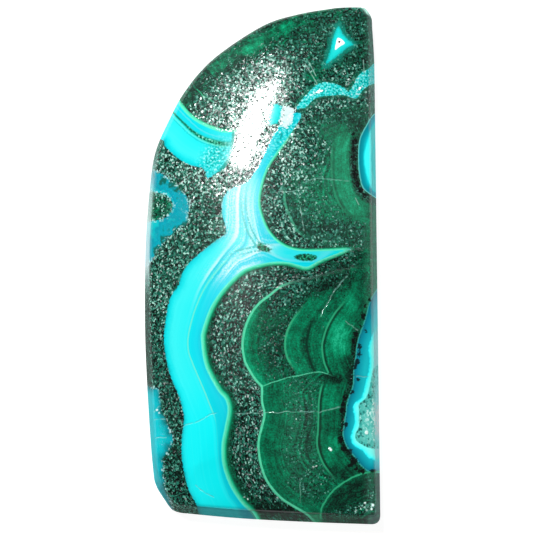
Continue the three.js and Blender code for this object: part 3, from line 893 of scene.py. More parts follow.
layers["black_spots"] = np.clip(
    sum(spot(x, y, wide * 0.9, high * 0.9) for x, y, wide, high in BLACK_BLOBS_PX)
    + 0.3 * (1 - fade(np.abs(layers["pocket"] + 0.1), 0.1, 0.4)) * fade(y_px, 304, 324) * (1 - fade(y_px, 466, 474))
    + 0.22 * in_up * (1 - fade(np.abs(layers["side_patch"] + 0.22), 0.15, 0.35)) * fade(y_px, 132, 142), 0, 1)
left_edge = 1 - fade(x_px, 150, 156)
# Painted shade on the foot's wall.
layers["foot_wall_shade"] = fade(y_px, 490, 506) * (1 - left_edge) * (1 - fade(x_px, 366, 371))
# Painted light on the straight side's wall, more by the pocket.
layers["painted_straight_wall_light"] = (0.08 + 0.16 * (layers["pocket"] > 0)) * fade(x_px, 366, 371)
# The long side's wall keeps some gloss here, and gets a painted sheen of reflected light in its colour.
layers["wall_sheen"] = (1 - fade(x_px, 147, 160)) * (1 - fade(y_px, 262, 300)) * fade(y_px, 140, 175)
# Below its sheen the long side's wall is painted darker.
layers["left_dark"] = left_edge * fade(y_px, 280, 300) * (layers["long_side_patch"] < 0)
layers["corner_glint"] = spot(367.5, 12.5, 7, 1.6, 42)
# Round the glare the polish is rougher and the grains tilt more; the same layer also paints the grains there lighter,
# as painted light.
glare_zone = spot(228, 122, 86, 48, -60)
glare_zone = np.maximum(glare_zone, 0.9 * spot(293, 160, 44, 15, 80))
glare_core = np.maximum(spot(247, 136, 48, 14, -72), spot(264, 96, 26, 9, -60))
layers["undercut_and_glare_light"] = np.clip(0.06 + 0.94 * fade(glare_zone, 0.1, 0.8) - 0.8 * fade(glare_core, 0.2, 0.8), 0.06, 1)
print("mean shade", round(float(shade.mean()), 3), "mean grain", round(float(grain.mean()), 3))

# %% Store every layer on the stone
for name, values in layers.items():
    attribute = mesh.attributes.new(name, "FLOAT", "POINT")
    attribute.data.foreach_set("value", values.astype(np.float32))
print("stored", len(layers), "layers on", len(seen), "points")

# %% [markdown]
# The finish reads the stored layers. Its colours are named for the rock they paint, or for the light
# and shade painted into them, and written as they show on a screen in the studio's light, which is
# about twice as bright as a white sheet would need. `paint` turns such a colour back into how much
# light the rock itself throws back.

# %% Colours of the rock
FACE_LIGHT = 1.52
STRAIGHT_SIDE_LIGHT = 0.98


def paint(red, green, blue, light=FACE_LIGHT):
    """The rock's own colour, from how it shows on a screen (0 to 255) in the studio's light."""
    values = []
    for level in (red / 255, green / 255, blue / 255):
        linear = level / 12.92 if level < 0.04045 else ((level + 0.055) / 1.055) ** 2.4
        values.append(linear / light)
    return (*values, 1.0)


def side_paint(red, green, blue):
    """The same for the straight side, which is turned away from the lamp and gets less light."""
    return paint(red, green, blue, STRAIGHT_SIDE_LIGHT)


MALACHITE_BY_SHADE = [
    (0.0, paint(8, 22, 17)), (0.15, paint(10, 40, 30)), (0.3, paint(10, 68, 48)),
    (0.45, paint(8, 98, 68)), (0.6, paint(5, 126, 86)), (0.75, paint(8, 152, 106)),
    (0.9, paint(16, 176, 126)), (1.0, paint(36, 198, 148)),
]
GRAIN_BY_TONE = [
    (0.0, paint(3, 11, 9)), (0.25, paint(6, 32, 24)), (0.45, paint(9, 68, 52)),
    (0.62, paint(20, 98, 80)), (0.78, paint(46, 132, 110)), (0.92, paint(94, 176, 154)),
    (1.0, paint(186, 240, 224)),
]
GREY_GRAIN_BY_TONE = [
    (0.0, paint(8, 10, 10)), (0.25, paint(18, 22, 22)), (0.45, paint(36, 48, 46)),
    (0.62, paint(60, 76, 74)), (0.78, paint(92, 106, 104)), (0.92, paint(140, 148, 146)),
    (1.0, paint(212, 214, 214)),
]
RIBBON_BY_DEPTH = [
    (0.0, paint(4, 190, 196)), (0.07, paint(4, 218, 226)), (0.25, paint(20, 240, 244)),
    (0.6, paint(60, 252, 253)), (1.4, paint(44, 250, 252)), (2.4, paint(8, 240, 247)),
]
RIBBON_INNER_BY_DEPTH = [
    (0.0, paint(10, 242, 247)), (0.25, paint(1, 232, 246)), (0.9, paint(1, 224, 242)),
]
RIM_BY_DISTANCE = [
    (-0.13, paint(24, 240, 230)), (-0.05, paint(104, 252, 212)), (0.06, paint(88, 244, 194)),
    (0.14, paint(40, 214, 160)), (0.22, paint(14, 164, 118)), (0.3, paint(8, 110, 80)),
    (0.4, paint(8, 78, 58)),
]
POCKET_BY_DEPTH = [
    (0.0, side_paint(44, 140, 124)), (0.05, side_paint(44, 154, 146)), (0.11, side_paint(4, 108, 124)),
    (0.35, side_paint(5, 136, 152)), (0.8, side_paint(20, 176, 184)),
]
POCKET_BAND_BY_DEPTH = [
    (0.0, side_paint(6, 176, 194)), (0.08, side_paint(44, 240, 240)), (0.22, side_paint(94, 246, 238)),
    (0.45, side_paint(118, 240, 230)), (0.9, side_paint(130, 234, 224)),
]
DRUSE_BY_DEPTH = [
    (-0.4, side_paint(24, 96, 90)), (0.0, side_paint(56, 168, 158)), (0.3, side_paint(78, 184, 172)),
    (0.9, side_paint(108, 200, 190)), (1.3, side_paint(180, 230, 222)),
]
SIDE_PATCH_BY_DEPTH = [
    (0.0, side_paint(120, 220, 210)), (0.05, side_paint(60, 170, 170)), (0.1, side_paint(3, 126, 140)),
    (0.3, side_paint(3, 148, 162)), (0.5, side_paint(10, 190, 202)),
]
SIDE_PATCH_CORE_BY_DEPTH = [
    (0.0, side_paint(10, 210, 218)), (0.13, side_paint(56, 252, 252)), (0.45, side_paint(66, 254, 254)),
    (0.6, side_paint(24, 214, 220)), (0.75, side_paint(60, 250, 250)),
]
RING_BY_DEPTH = [
    (0.0, paint(10, 110, 98)), (0.1, paint(4, 150, 156)), (0.35, paint(1, 178, 196)),
    (0.8, paint(1, 162, 182)), (1.3, paint(8, 204, 210)),
]
LONG_SIDE_PATCH_BY_DEPTH = [
    (0.0, paint(10, 100, 88)), (0.1, paint(2, 148, 156)), (0.35, paint(1, 190, 202)),
    (0.7, paint(1, 214, 226)),
]
TRIANGLE_BY_DEPTH = [
    (0.0, paint(8, 140, 126)), (0.06, paint(8, 196, 190)), (0.16, paint(10, 232, 228)),
    (0.45, paint(40, 244, 242)),
]
LENS_BY_TONE = [
    (0.3, paint(12, 46, 34)), (0.42, paint(10, 90, 66)), (0.52, paint(20, 150, 110)),
    (0.62, paint(70, 206, 160)), (0.75, paint(20, 220, 220)),
]
VEIN_BY_TONE = [
    (0.36, paint(16, 44, 34)), (0.44, paint(12, 84, 62)), (0.51, paint(24, 156, 118)),
    (0.58, paint(84, 222, 186)), (0.68, paint(214, 255, 248)),
]
VEIN_GREEN = paint(12, 124, 96)
VEIN_EDGE = paint(48, 206, 164)
PALE_LINE = paint(120, 246, 214)
# Pale streaks and crumbs, and near the glare a painted highlight.
PALE_STREAK_AND_HIGHLIGHT = paint(200, 255, 253)
# Painted highlight: the white of the glare's haze.
PAINTED_GLARE_HAZE = paint(236, 255, 255)
TWIN_LINE = paint(2, 192, 188)
# A pale veil of reflected light, painted over the rock.
PAINTED_VEIL = paint(150, 192, 180)
# Pale light and sheen painted on the walls.
PAINTED_WALL_SHEEN = paint(150, 186, 190, 0.6)
# How much lighter the wall's colour is painted, for the light the wall misses.
WALL_LIGHT_LIFT = 1.9
# Pale flecks, and painted glints.
FLECK_AND_GLINT_WHITE = side_paint(216, 242, 236)
DEEP_STREAK = paint(1, 202, 222)
GREEN_STREAK = paint(8, 160, 138)
BRIGHT_LINE = paint(96, 238, 186)
FINE_LINE = paint(50, 182, 130)
DARK_LINE = paint(10, 52, 38)
# Black rock, and painted shade on the walls.
BLACK_ROCK_AND_SHADE = paint(14, 14, 16)
CRYSTAL_WHITE = side_paint(252, 252, 252)
CRACK_FILL = paint(150, 226, 208)
# Painted light: a brighter cyan for the ribbon towards the foot, where the dome turns from the lamp.
FOOT_RIBBON_PAINTED_LIGHTER = paint(1, 250, 255, 1.42)
# Crumbly turquoise, whose palest steps also paint the white of the glare.
CRUMBLY_AND_GLARE_BY_TONE = [
    (0.32, paint(6, 140, 126)), (0.4, paint(5, 194, 188)), (0.49, paint(28, 234, 232)),
    (0.58, paint(110, 248, 244)), (0.68, paint(232, 255, 255)),
]
GLINT = paint(170, 220, 206)
HALO_GREEN = paint(8, 128, 96)

# %% [markdown]
# Four effects come back in several zones, so each is a node group: a thin growth line, a hairline
# crack, the coarse grains of the rock, and a wavering of distances that keeps edges from looking
# ruled. A group has named inputs and puts out only masks and values that vary over the stone.


# %% Node groups shared by the zones
def new_group(name, inputs, outputs):
    """A shader node group with named sockets; returns it with its input fields and its exit."""
    group = bpy.data.node_groups.new(name, "ShaderNodeTree")
    for title, default in inputs.items():
        kind = "NodeSocketFloat" if isinstance(default, float) else "NodeSocketVector"
        socket = group.interface.new_socket(title, in_out="INPUT", socket_type=kind)
        socket.default_value = default
    for title, kind in outputs.items():
        group.interface.new_socket(title, in_out="OUTPUT", socket_type=kind)
    entry = group.nodes.new("NodeGroupInput")
    leave = group.nodes.new("NodeGroupOutput")
    return group, {title: Field(group, entry.outputs[title]) for title in inputs}, leave


def noise(tree, place, grain_mm, detail=2.0, kind="3D"):
    """Soft noise from 0 to 1 whose lumps are about `grain_mm` across."""
    socket = "W" if kind == "1D" else "Vector"
    settings = {socket: place, "Scale": 1.0 / grain_mm, "Detail": detail}
    return Field(tree, add_node(tree, "ShaderNodeTexNoise", settings, noise_dimensions=kind).outputs[0])


def make_line_group():
    group, given, leave = new_group(
        "Growth line", {"Distance": 0.0, "Half Width": 0.1}, {"Line": "NodeSocketFloat"})
    share = given["Distance"].math("ABSOLUTE") / given["Half Width"]
    feed(group, leave.inputs["Line"], rise(share, 0.45, 1.15, 1.0, 0.0))
    return group


def make_waver_group():
    group, given, leave = new_group(
        "Wavering edge", {"Distance": 0.0, "Place": (0.0, 0.0, 0.0), "Lump": 0.3, "Amount": 0.03},
        {"Distance": "NodeSocketFloat"})
    stretched = vector(group, "DIVIDE", given["Place"], as_vector(group, given["Lump"]))
    lumps = noise(group, stretched, 1.0, 3.0)
    feed(group, leave.inputs["Distance"], given["Distance"] + (lumps - 0.5) * 2.0 * given["Amount"])
    return group


def make_grain_group():
    group, given, leave = new_group(
        "Coarse grains", {"Place": (0.0, 0.0, 0.0), "Grain Size": 0.15, "Cover": 0.5},
        {"Grain": "NodeSocketFloat", "Tone": "NodeSocketFloat", "Tint": "NodeSocketFloat",
         "Tilt": "NodeSocketVector"})
    sized = vector(group, "DIVIDE", given["Place"], as_vector(group, given["Grain Size"]))
    jagged = add_node(group, "ShaderNodeTexNoise", {"Vector": sized, "Scale": 1.3, "Detail": 2.0})
    shifted = vector(group, "MULTIPLY_ADD", channels(group, jagged.outputs["Color"]), (1.3, 1.3, 1.3), sized)
    cells = add_node(group, "ShaderNodeTexVoronoi", {"Vector": shifted, "Scale": 1.0})
    random = add_node(group, "ShaderNodeSeparateColor", {0: cells.outputs["Color"]})
    direction = add_node(group, "ShaderNodeTexWhiteNoise", {"Vector": cells.outputs["Position"]})
    chosen = Field(group, random.outputs["Red"])
    reach = 0.25 + given["Cover"] * 0.75
    in_cell = rise(Field(group, cells.outputs["Distance"]) - reach, -0.12, 0.02, 1.0, 0.0)
    is_grain = rise(chosen - given["Cover"], -0.04, 0.04, 1.0, 0.0)
    feed(group, leave.inputs["Grain"], is_grain * in_cell)
    feed(group, leave.inputs["Tone"], Field(group, random.outputs["Green"]))
    how_far = 0.3 + Field(group, random.outputs["Blue"]) ** 3.0 * 2.2
    leaning = vector(group, "SUBTRACT", channels(group, direction.outputs["Color"]), (0.5, 0.5, 0.5))
    feed(group, leave.inputs["Tilt"], vector(group, "MULTIPLY", leaning, as_vector(group, how_far)))
    feed(group, leave.inputs["Tint"], Field(group, direction.outputs["Value"]))
    return group


def make_crack_group():
    group, given, leave = new_group(
        "Hairline crack",
        {"Place": (0.0, 0.0, 0.0), "Start": (0.0, 0.0, 0.0), "Along": (1.0, 0.0, 0.0), "Length": 1.0,
         "Half Width": 0.05, "Bend": 0.35},
        {"Crack": "NodeSocketFloat"})
    away = vector(group, "SUBTRACT", given["Place"], given["Start"])
    along = vector_value(group, "DOT_PRODUCT", away, given["Along"])
    turned = vector(group, "CROSS_PRODUCT", given["Along"], (0.0, 0.0, 1.0))
    bend = (noise(group, given["Place"], 0.9, 3.0) - 0.5) * given["Bend"]
    across = (vector_value(group, "DOT_PRODUCT", away, turned) + bend).math("ABSOLUTE") / given["Half Width"]
    reach = rise(along / given["Length"], -0.02, 0.06) * rise(along / given["Length"], 0.94, 1.02, 1.0, 0.0)
    broken = rise(noise(group, given["Place"], 0.35, 2.0), 0.36, 0.5, 0.25, 1.0)
    feed(group, leave.inputs["Crack"], rise(across, 0.4, 1.2, 1.0, 0.0) * reach * broken)
    return group


LINE_GROUP = make_line_group()
WAVER_GROUP = make_waver_group()
GRAIN_GROUP = make_grain_group()
CRACK_GROUP = make_crack_group()
print("groups:", ", ".join(group.name for group in (LINE_GROUP, WAVER_GROUP, GRAIN_GROUP, CRACK_GROUP)))

# %% Short names for the finish's own tree
ore = finish.node_tree
ore.nodes.clear()
object_place = add_node(ore, "ShaderNodeTexCoord").outputs["Object"]
place_mm = add_node(ore, "ShaderNodeVectorMath", {0: object_place, "Scale": 1.0 / MM}, operation="SCALE").outputs[0]
height_mm = Field(ore, add_node(ore, "ShaderNodeSeparateXYZ", {0: place_mm}).outputs["Z"])


def layer(name):
    """A stored layer as a field."""
    node = add_node(ore, "ShaderNodeAttribute", attribute_name=name)
    return Field(ore, node.outputs["Fac"])


def placed(group, **inputs):
    """Places a node group with its inputs, and returns its outputs as fields."""
    node = add_node(ore, "ShaderNodeGroup", node_tree=group)
    for name, value in inputs.items():
        feed(ore, node.inputs[name.replace("_", " ").title()], value)
    return {socket.name: Field(ore, socket) for socket in node.outputs}


def line(distance, half_width):
    return placed(LINE_GROUP, distance=distance, half_width=half_width)["Line"]


def wavering(name, amount=0.02, lump=0.3):
    """A stored distance with a natural unevenness."""
    return placed(WAVER_GROUP, distance=layer(name), place=place_mm, lump=lump, amount=amount)["Distance"]


def banded(distance, steps):
    """A colour by distance, from (distance in mm, colour) steps."""
    low, high = steps[0][0], steps[-1][0]
    node = add_node(ore, "ShaderNodeValToRGB", {0: (distance - low) / (high - low)})
    elements = node.color_ramp.elements
    elements[0].color = steps[0][1]
    elements[-1].color = steps[-1][1]
    for distance_mm, colour in steps[1:-1]:
        elements.new((distance_mm - low) / (high - low)).color = colour
    return node.outputs[0]


def over(below, above, amount):
    """Lays one colour over another by a mask."""
    node = add_node(ore, "ShaderNodeMix", {0: amount, 6: below, 7: above}, data_type="RGBA")
    return node.outputs[2]


def inside_of(distance, soft=0.03):
    """A mask that turns on where a distance passes zero."""
    return rise(distance, -soft, soft)

# %% [markdown]
# The green rock comes first. Its colour follows `shade`, made uneven by fine growth lines, which
# are one-dimensional noise of the distance from the front of each zone, and by soft mottling. Coarse
# grains lie over it wherever `grain` says so, each with a tone of its own.

# %% Green rock
mottle = noise(ore, place_mm, 0.9, 4.0) - 0.5
fibre = noise(ore, place_mm, 0.11, 2.0) - 0.5
growth = layer("growth")
growth_lines = noise(ore, growth + mottle * 0.1, 0.2, 2.0, kind="1D") - 0.5
patches = noise(ore, place_mm, 0.45, 3.0) - 0.5
grain_share = layer("grain")
silky_shade = layer("shade") + growth_lines * (mottle * 1.4 + 0.5) + mottle * 0.36 + fibre * (0.7 + grain_share * 0.4)
silky_shade = silky_shade + patches * (layer("patchy") * 0.7 + 0.36)
green_rock = banded(silky_shade, MALACHITE_BY_SHADE)

clusters = noise(ore, place_mm, 0.55, 3.0) - 0.5
rows = (noise(ore, layer("row_depth") + clusters * 0.05, 0.11, 1.0, kind="1D") - 0.5) * layer("rows")
split_place = add_node(ore, "ShaderNodeSeparateXYZ", {0: place_mm})
across_mm, along_mm = Field(ore, split_place.outputs["X"]), Field(ore, split_place.outputs["Y"])
rows_place = add_node(ore, "ShaderNodeCombineXYZ", {
    "X": across_mm * 0.97 + height_mm * 0.3, "Y": along_mm * 0.97 - height_mm * 0.3, "Z": layer("row_depth") * 0.5})
grain_place = add_node(ore, "ShaderNodeMix", {0: layer("rows"), 4: place_mm, 5: rows_place.outputs[0]},
                       data_type="VECTOR").outputs[1]


def speckled(below, size, cover, strength):
    """Lays coarse grains over the rock: green ones and, fewer, grey ones."""
    grains = placed(GRAIN_GROUP, place=grain_place, grain_size=size, cover=cover)
    tone = grains["Tone"] * (0.66 + grain_share * 0.38) + (1.0 - grain_share) * 0.12 - layer("rows") * 0.04
    # Round the glare the grains are painted lighter, as painted light.
    tone = tone + clusters * 0.3 + (layer("shade") - 0.42) * 0.4 + rows * 0.45 + layer("undercut_and_glare_light") * 0.1
    greyness = grains["Tint"] + layer("rows") * 0.1 + grain_share * 0.35
    tinted = over(banded(tone, GRAIN_BY_TONE), banded(tone, GREY_GRAIN_BY_TONE), rise(greyness, 1.2, 1.3))
    return over(below, tinted, grains["Grain"] * strength), grains


speckled_rock, grains = speckled(green_rock, 0.115, grain_share * 0.96, 1.0)
speckled_rock, specks = speckled(speckled_rock, 0.08, grain_share * 0.34, 0.9)

# %% Fine growth lines of the two lobes
second_line = line(layer("second_front"), 0.09) * layer("second_light")
dark_line = line(layer("dark_front"), 0.1) * layer("dark_light")
third_line = line(layer("third_front"), 0.075) * layer("third_light")
third_dark = line(layer("third_front") - 0.14, 0.08) * layer("third_light")
seam_line = line(wavering("seam", 0.04), 0.045) * layer("seam_light") * rise(mottle + fibre, -0.25, 0.1, 0.3, 1.0)
bright_line = line(wavering("bright_front", 0.016), 0.096) * layer("front_light") * rise(mottle, -0.3, 0.0, 0.78, 1.0)
lined = over(speckled_rock, DARK_LINE, dark_line * 0.85)
lined = over(lined, DARK_LINE, third_dark * 0.8)
lined = over(lined, FINE_LINE, second_line * 0.85)
lined = over(lined, FINE_LINE, third_line * 0.8)
lined = over(lined, BRIGHT_LINE, seam_line * 0.7)
lined = over(lined, BRIGHT_LINE, bright_line)

# %% [markdown]
# The turquoise ribbon lies wherever a point is inside its outer front and outside the rims of the
# lobes and of the sweep. Its colour deepens inward, past a thin pale line.

# %% Turquoise ribbon
crumbly = noise(ore, place_mm, 0.14, 3.0)
ribbon_edge = wavering("ribbon_outer", 0.1, 0.13) + (crumbly - 0.5) * layer("crumbly") * 0.4
rim = wavering("rim", 0.025, 0.12)
sweep_rim = wavering("sweep_rim", 0.03, 0.2)
pale_side = wavering("ribbon_pale", 0.02, 0.4)
ribbon_colour = banded(ribbon_edge + mottle * 0.3, RIBBON_BY_DEPTH)
ribbon_colour = over(ribbon_colour, banded(pale_side, RIBBON_INNER_BY_DEPTH), inside_of(pale_side))
# Painted light: towards the foot, where the dome turns from the lamp, the ribbon is painted a brighter cyan.
ribbon_colour = over(ribbon_colour, FOOT_RIBBON_PAINTED_LIGHTER,
                     layer("foot_light_and_depth") * (1.0 - inside_of(pale_side) * 0.7) * rise(ribbon_edge, 0.0, 0.5))
ribbon_colour = over(ribbon_colour, DEEP_STREAK, layer("foot_light_and_depth") * inside_of(pale_side, 0.25) * 0.55)
ribbon_colour = over(ribbon_colour, DEEP_STREAK, rise(rim, -0.42, -0.1) * layer("rim_shadow") * 0.6)
# Deeper and paler streaks follow the ribbon's growth; near the glare the pale ones are partly painted highlight.
streaks = noise(ore, layer("streak_depth") + mottle * 0.08, 0.26, 2.0, kind="1D") - 0.5
ribbon_colour = over(ribbon_colour, DEEP_STREAK, rise(streaks, 0.0, 0.16) * layer("streak_light") * 0.9)
ribbon_colour = over(ribbon_colour, PALE_STREAK_AND_HIGHLIGHT, rise(streaks, 0.02, -0.24) * layer("streak_light") * 0.6)
# Painted highlight: the glare's haze on the ribbon, painted as pale fibrous streaks.
painted_glare_streaks = rise(streaks + fibre * 0.5, 0.12, -0.24) * layer("haze")
ribbon_colour = over(ribbon_colour, PAINTED_GLARE_HAZE, painted_glare_streaks * 0.78)
flaws = noise(ore, place_mm, 0.13, 3.0)
ribbon_colour = over(ribbon_colour, banded(crumbly - 0.015, CRUMBLY_AND_GLARE_BY_TONE), layer("crumbly"))
twin_lines = line(pale_side + 0.14, 0.09).math("MAXIMUM", line(pale_side - 0.17, 0.075))
ribbon_colour = over(ribbon_colour, TWIN_LINE, twin_lines * layer("pale_dark") * rise(flaws, 0.34, 0.5) * 0.9)
ribbon_colour = over(ribbon_colour, PALE_LINE, line(pale_side, 0.06) * layer("pale_light") * 0.7)

# %% Veins in the ribbon that crosses the sweep
sweep_vein = wavering("sweep_vein", 0.05, 0.15)
vein_light = layer("sweep_vein_light")
vein_width = layer("vein_width")
ribbon_colour = over(ribbon_colour, VEIN_EDGE, line(sweep_vein, vein_width * 1.7) * vein_light * 0.8)
ribbon_colour = over(ribbon_colour, DEEP_STREAK, inside_of(sweep_vein, 0.15) * vein_light * (streaks + 0.5) * 0.6)
vein_mask = line(sweep_vein, vein_width) * vein_light
ribbon_colour = over(ribbon_colour, VEIN_GREEN, vein_mask * 0.9)
ribbon_colour = over(ribbon_colour, banded(crumbly * 0.5 + flaws * 0.5, VEIN_BY_TONE), vein_mask * layer("vein_speckle"))
ribbon_colour = over(ribbon_colour, PALE_LINE, line(sweep_vein + 0.2, 0.05) * vein_light * 0.5)
ribbon_colour = over(ribbon_colour, PALE_STREAK_AND_HIGHLIGHT, line(sweep_vein - 0.42, 0.06) * vein_light * 0.12)
ribbon_colour = over(ribbon_colour, GREEN_STREAK,
                     line(sweep_vein + 0.31, 0.05) * vein_light * rise(flaws, 0.36, 0.48) * 0.35)
vein_grains = layer("vein_core") + (crumbly - 0.5) * 1.6
ribbon_colour = over(ribbon_colour, CRYSTAL_WHITE,
                     rise(vein_grains, 0.62, 0.85) * rise(layer("vein_core"), 0.1, 0.3))
ribbon_colour = over(ribbon_colour, GREEN_STREAK, line(wavering("sweep_end", 0.1, 0.13) - 0.08, 0.16) * 0.8)

# %% Ribbon over the green rock, and its rims
in_ribbon = inside_of(ribbon_edge) * (1.0 - inside_of(rim)) * (1.0 - inside_of(sweep_rim))
in_ribbon = in_ribbon * (1.0 - inside_of(wavering("vein_gap", 0.08, 0.15)))
halo = rise(ribbon_edge, -0.32, 0.0) * rise(rim, 0.32, 0.0) * layer("halo")
banded_rock = over(lined, HALO_GREEN, halo * 0.7)
banded_rock = over(banded_rock, BLACK_ROCK_AND_SHADE, layer("dark_over_vein") * 0.85)
banded_rock = over(banded_rock, ribbon_colour, in_ribbon)
rim_place = rim / layer("rim_wide")
on_rim = rise(rim_place, -0.17, -0.09) * rise(rim_place, 0.24, 0.4, 1.0, 0.0) * layer("rim_light")
banded_rock = over(banded_rock, banded(rim_place, RIM_BY_DISTANCE), on_rim)
on_sweep_rim = rise(sweep_rim, -0.14, -0.06) * rise(sweep_rim, 0.1, 0.2, 1.0, 0.0) * layer("sweep_light")
banded_rock = over(banded_rock, banded(sweep_rim, RIM_BY_DISTANCE), on_sweep_rim)
banded_rock = over(banded_rock, banded(flaws - 0.05, LENS_BY_TONE), inside_of(wavering("lens", 0.12, 0.12) + 0.03, 0.05))
blob = wavering("glare_blob", 0.13, 0.13) + patches * 0.5 + (crumbly - 0.5) * 0.7
banded_rock = over(banded_rock, banded(blob, TRIANGLE_BY_DEPTH), inside_of(blob))
# Painted highlight: the glare's white beside the blob, crumbly at its edge.
painted_glare_white = wavering("painted_glare_white", 0.14, 0.14) + patches * 0.7 + (crumbly - 0.5) * 0.8
banded_rock = over(banded_rock, banded(crumbly + 0.3, CRUMBLY_AND_GLARE_BY_TONE), inside_of(painted_glare_white))

# %% Pocket and patches
pocket = wavering("pocket", 0.05, 0.3)
pocket_band = wavering("pocket_band", 0.09, 0.22)
druse = wavering("druse", 0.06, 0.25)
druse_grains = placed(GRAIN_GROUP, place=place_mm, grain_size=0.15, cover=0.75)
druse_colour = banded(druse + (druse_grains["Tone"] - 0.55) * 1.5 * druse_grains["Grain"], DRUSE_BY_DEPTH)
# Painted reflection: a thin pale veil over the rock outside the ribbon.
finished = over(banded_rock, PAINTED_VEIL, layer("painted_veil") * (1.0 - in_ribbon) * 0.075)
finished = over(finished, banded(pocket, POCKET_BY_DEPTH), inside_of(pocket))
finished = over(finished, banded(pocket_band, POCKET_BAND_BY_DEPTH), inside_of(pocket_band))
finished = over(finished, druse_colour, inside_of(druse, 0.05))

patch_edge = wavering("side_patch", 0.03, 0.25)
patch_core = wavering("side_patch_core", 0.04, 0.3)
finished = over(finished, banded(patch_edge, SIDE_PATCH_BY_DEPTH), inside_of(patch_edge))
finished = over(finished, banded(patch_core, SIDE_PATCH_CORE_BY_DEPTH), inside_of(patch_core, 0.07))

ring_edge = wavering("ring", 0.14, 0.2)
ring_core = wavering("ring_core", 0.16, 0.25)
in_ring = inside_of(ring_edge) * (1.0 - inside_of(ring_core)) * inside_of(0.0 - layer("ribbon_outer"))
lobes = noise(ore, place_mm, 0.8, 2.0) - 0.5
finished = over(finished, banded(ring_edge + lobes * 2.6 + patches * 0.8, RING_BY_DEPTH), in_ring)
long_patch = wavering("long_side_patch", 0.1, 0.25)
finished = over(finished, banded(long_patch + lobes * 0.8, LONG_SIDE_PATCH_BY_DEPTH), inside_of(long_patch))
edge_crumbs = line(ring_edge, 0.16).math("MAXIMUM", line(ring_core, 0.16)).math("MAXIMUM", line(long_patch, 0.14))
crumbs = placed(GRAIN_GROUP, place=place_mm, grain_size=0.13, cover=0.6)
finished = over(finished, PALE_STREAK_AND_HIGHLIGHT, edge_crumbs * crumbs["Grain"] * rise(crumbs["Tone"], 0.3, 0.8) * 0.75)

triangle = wavering("triangle", 0.1, 0.12)
finished = over(finished, GREEN_STREAK, rise(triangle + patches * 0.5, -0.4, -0.05) * 0.6)
finished = over(finished, banded(triangle, TRIANGLE_BY_DEPTH), inside_of(triangle, 0.07))
finished = over(finished, CRYSTAL_WHITE, inside_of(wavering("triangle_core", 0.03, 0.15)))
finished = over(finished, BLACK_ROCK_AND_SHADE, inside_of(layer("triangle_pit"), 0.02))
finished = over(finished, FINE_LINE, line(wavering("corner_lobe", 0.06, 0.3), 0.07) * layer("corner_light"))
finished = over(finished, GLINT, layer("corner_glint"))

# %% Black grains, hairline cracks, pale flecks and painted glints, and painted light and shade on the wall
CRACKS_PX = [
    ((274, 191.5), (308, 189)), ((303, 182), (314, 178.5)), ((312, 178.5), (350, 180.5)),
    ((180, 428), (218, 412)), ((234, 413), (320, 412)), ((318, 412.5), (340, 407)),
    ((348, 276), (334, 291)), ((335, 289), (319, 316)), ((345, 321), (358, 330.5)),
    ((195, 485), (214, 498)), ((299.5, 478), (300, 503)),
    ((355.7, 376), (369.4, 377.4)), ((153.6, 412), (160, 406)), ((153, 420), (165, 419)), ((155, 438), (167, 437)),
]
SCRATCHES_PX = [
    ((305, 63), (316.5, 84)), ((309, 62), (316, 76)), ((363, 60), (364, 73)), ((285.5, 60), (287, 75)),
    ((267, 66), (282, 74)), ((262, 57), (276, 60)), ((355, 198), (359, 205)), ((300, 205), (304, 232)),
]
CRACK_HALF_WIDTH_MM = 0.05
SCRATCH_HALF_WIDTH_MM = 0.04


def on_stone(pixel):
    """The place on the face, in millimetres, that shows at a pixel of the photograph."""
    face = stone_mm[:, 2] > WALL_TOP_MM
    nearest = np.argmin(np.hypot(*(seen[face] - pixel).T))
    return Vector(stone_mm[face][nearest])


def crack(start_px, end_px, half_width=CRACK_HALF_WIDTH_MM, bend=0.35):
    start, end = on_stone(start_px), on_stone(end_px)
    flat = Vector((end.x - start.x, end.y - start.y, 0.0))
    return placed(CRACK_GROUP, place=place_mm, start=tuple(start), along=tuple(flat.normalized()),
                  length=flat.length, half_width=half_width, bend=bend)["Crack"]


finished = over(finished, FINE_LINE, crack((196, 89), (212, 102)) * 0.9)
black_edge = layer("black_spots") + (flaws - 0.5) * 1.7 + (crumbly - 0.5) * 1.3
finished = over(finished, BLACK_ROCK_AND_SHADE, rise(black_edge, 0.36, 0.62) * rise(layer("black_spots"), 0.03, 0.15) * 0.92)
cracks = crack(*CRACKS_PX[0])
for ends in CRACKS_PX[1:]:
    cracks = cracks.math("MAXIMUM", crack(*ends))
scratches = crack(*SCRATCHES_PX[0], half_width=SCRATCH_HALF_WIDTH_MM, bend=0.04)
for ends in SCRATCHES_PX[1:]:
    scratches = scratches.math("MAXIMUM", crack(*ends, half_width=SCRATCH_HALF_WIDTH_MM, bend=0.04))
finished = over(finished, GLINT, scratches * 0.6)
on_top = rise(height_mm, WALL_TOP_MM + 0.12, WALL_TOP_MM + 0.2)
on_wall = (1.0 - on_top) * rise(height_mm, 0.02, 0.1)
cracks = cracks * on_top
finished = over(finished, CRACK_FILL, cracks * 0.34)
# Pale flecks, partly painted glints of light on small pits.
flecks = inside_of(wavering("flecks", 0.04, 0.15))
finished = over(finished, FLECK_AND_GLINT_WHITE, flecks)
# Painted shade: where the ribbon runs down the foot's wall it is painted darker.
painted_foot_wall_shade = layer("foot_wall_shade") * in_ribbon
# Painted light: the wall gets less light than the face, so its colour is painted lighter, except on the dark foot and
# the blue patches of the long side.
painted_wall_light = add_node(ore, "ShaderNodeVectorMath", {0: finished, "Scale": WALL_LIGHT_LIFT}, operation="SCALE").outputs[0]
painted_wall_light = vector(ore, "MINIMUM", painted_wall_light, (0.9, 0.9, 0.9)).socket
left_blue = in_ring.math("MAXIMUM", inside_of(long_patch)) * 0.85
finished = over(finished, painted_wall_light, on_wall * (1.0 - painted_foot_wall_shade) * (1.0 - left_blue))
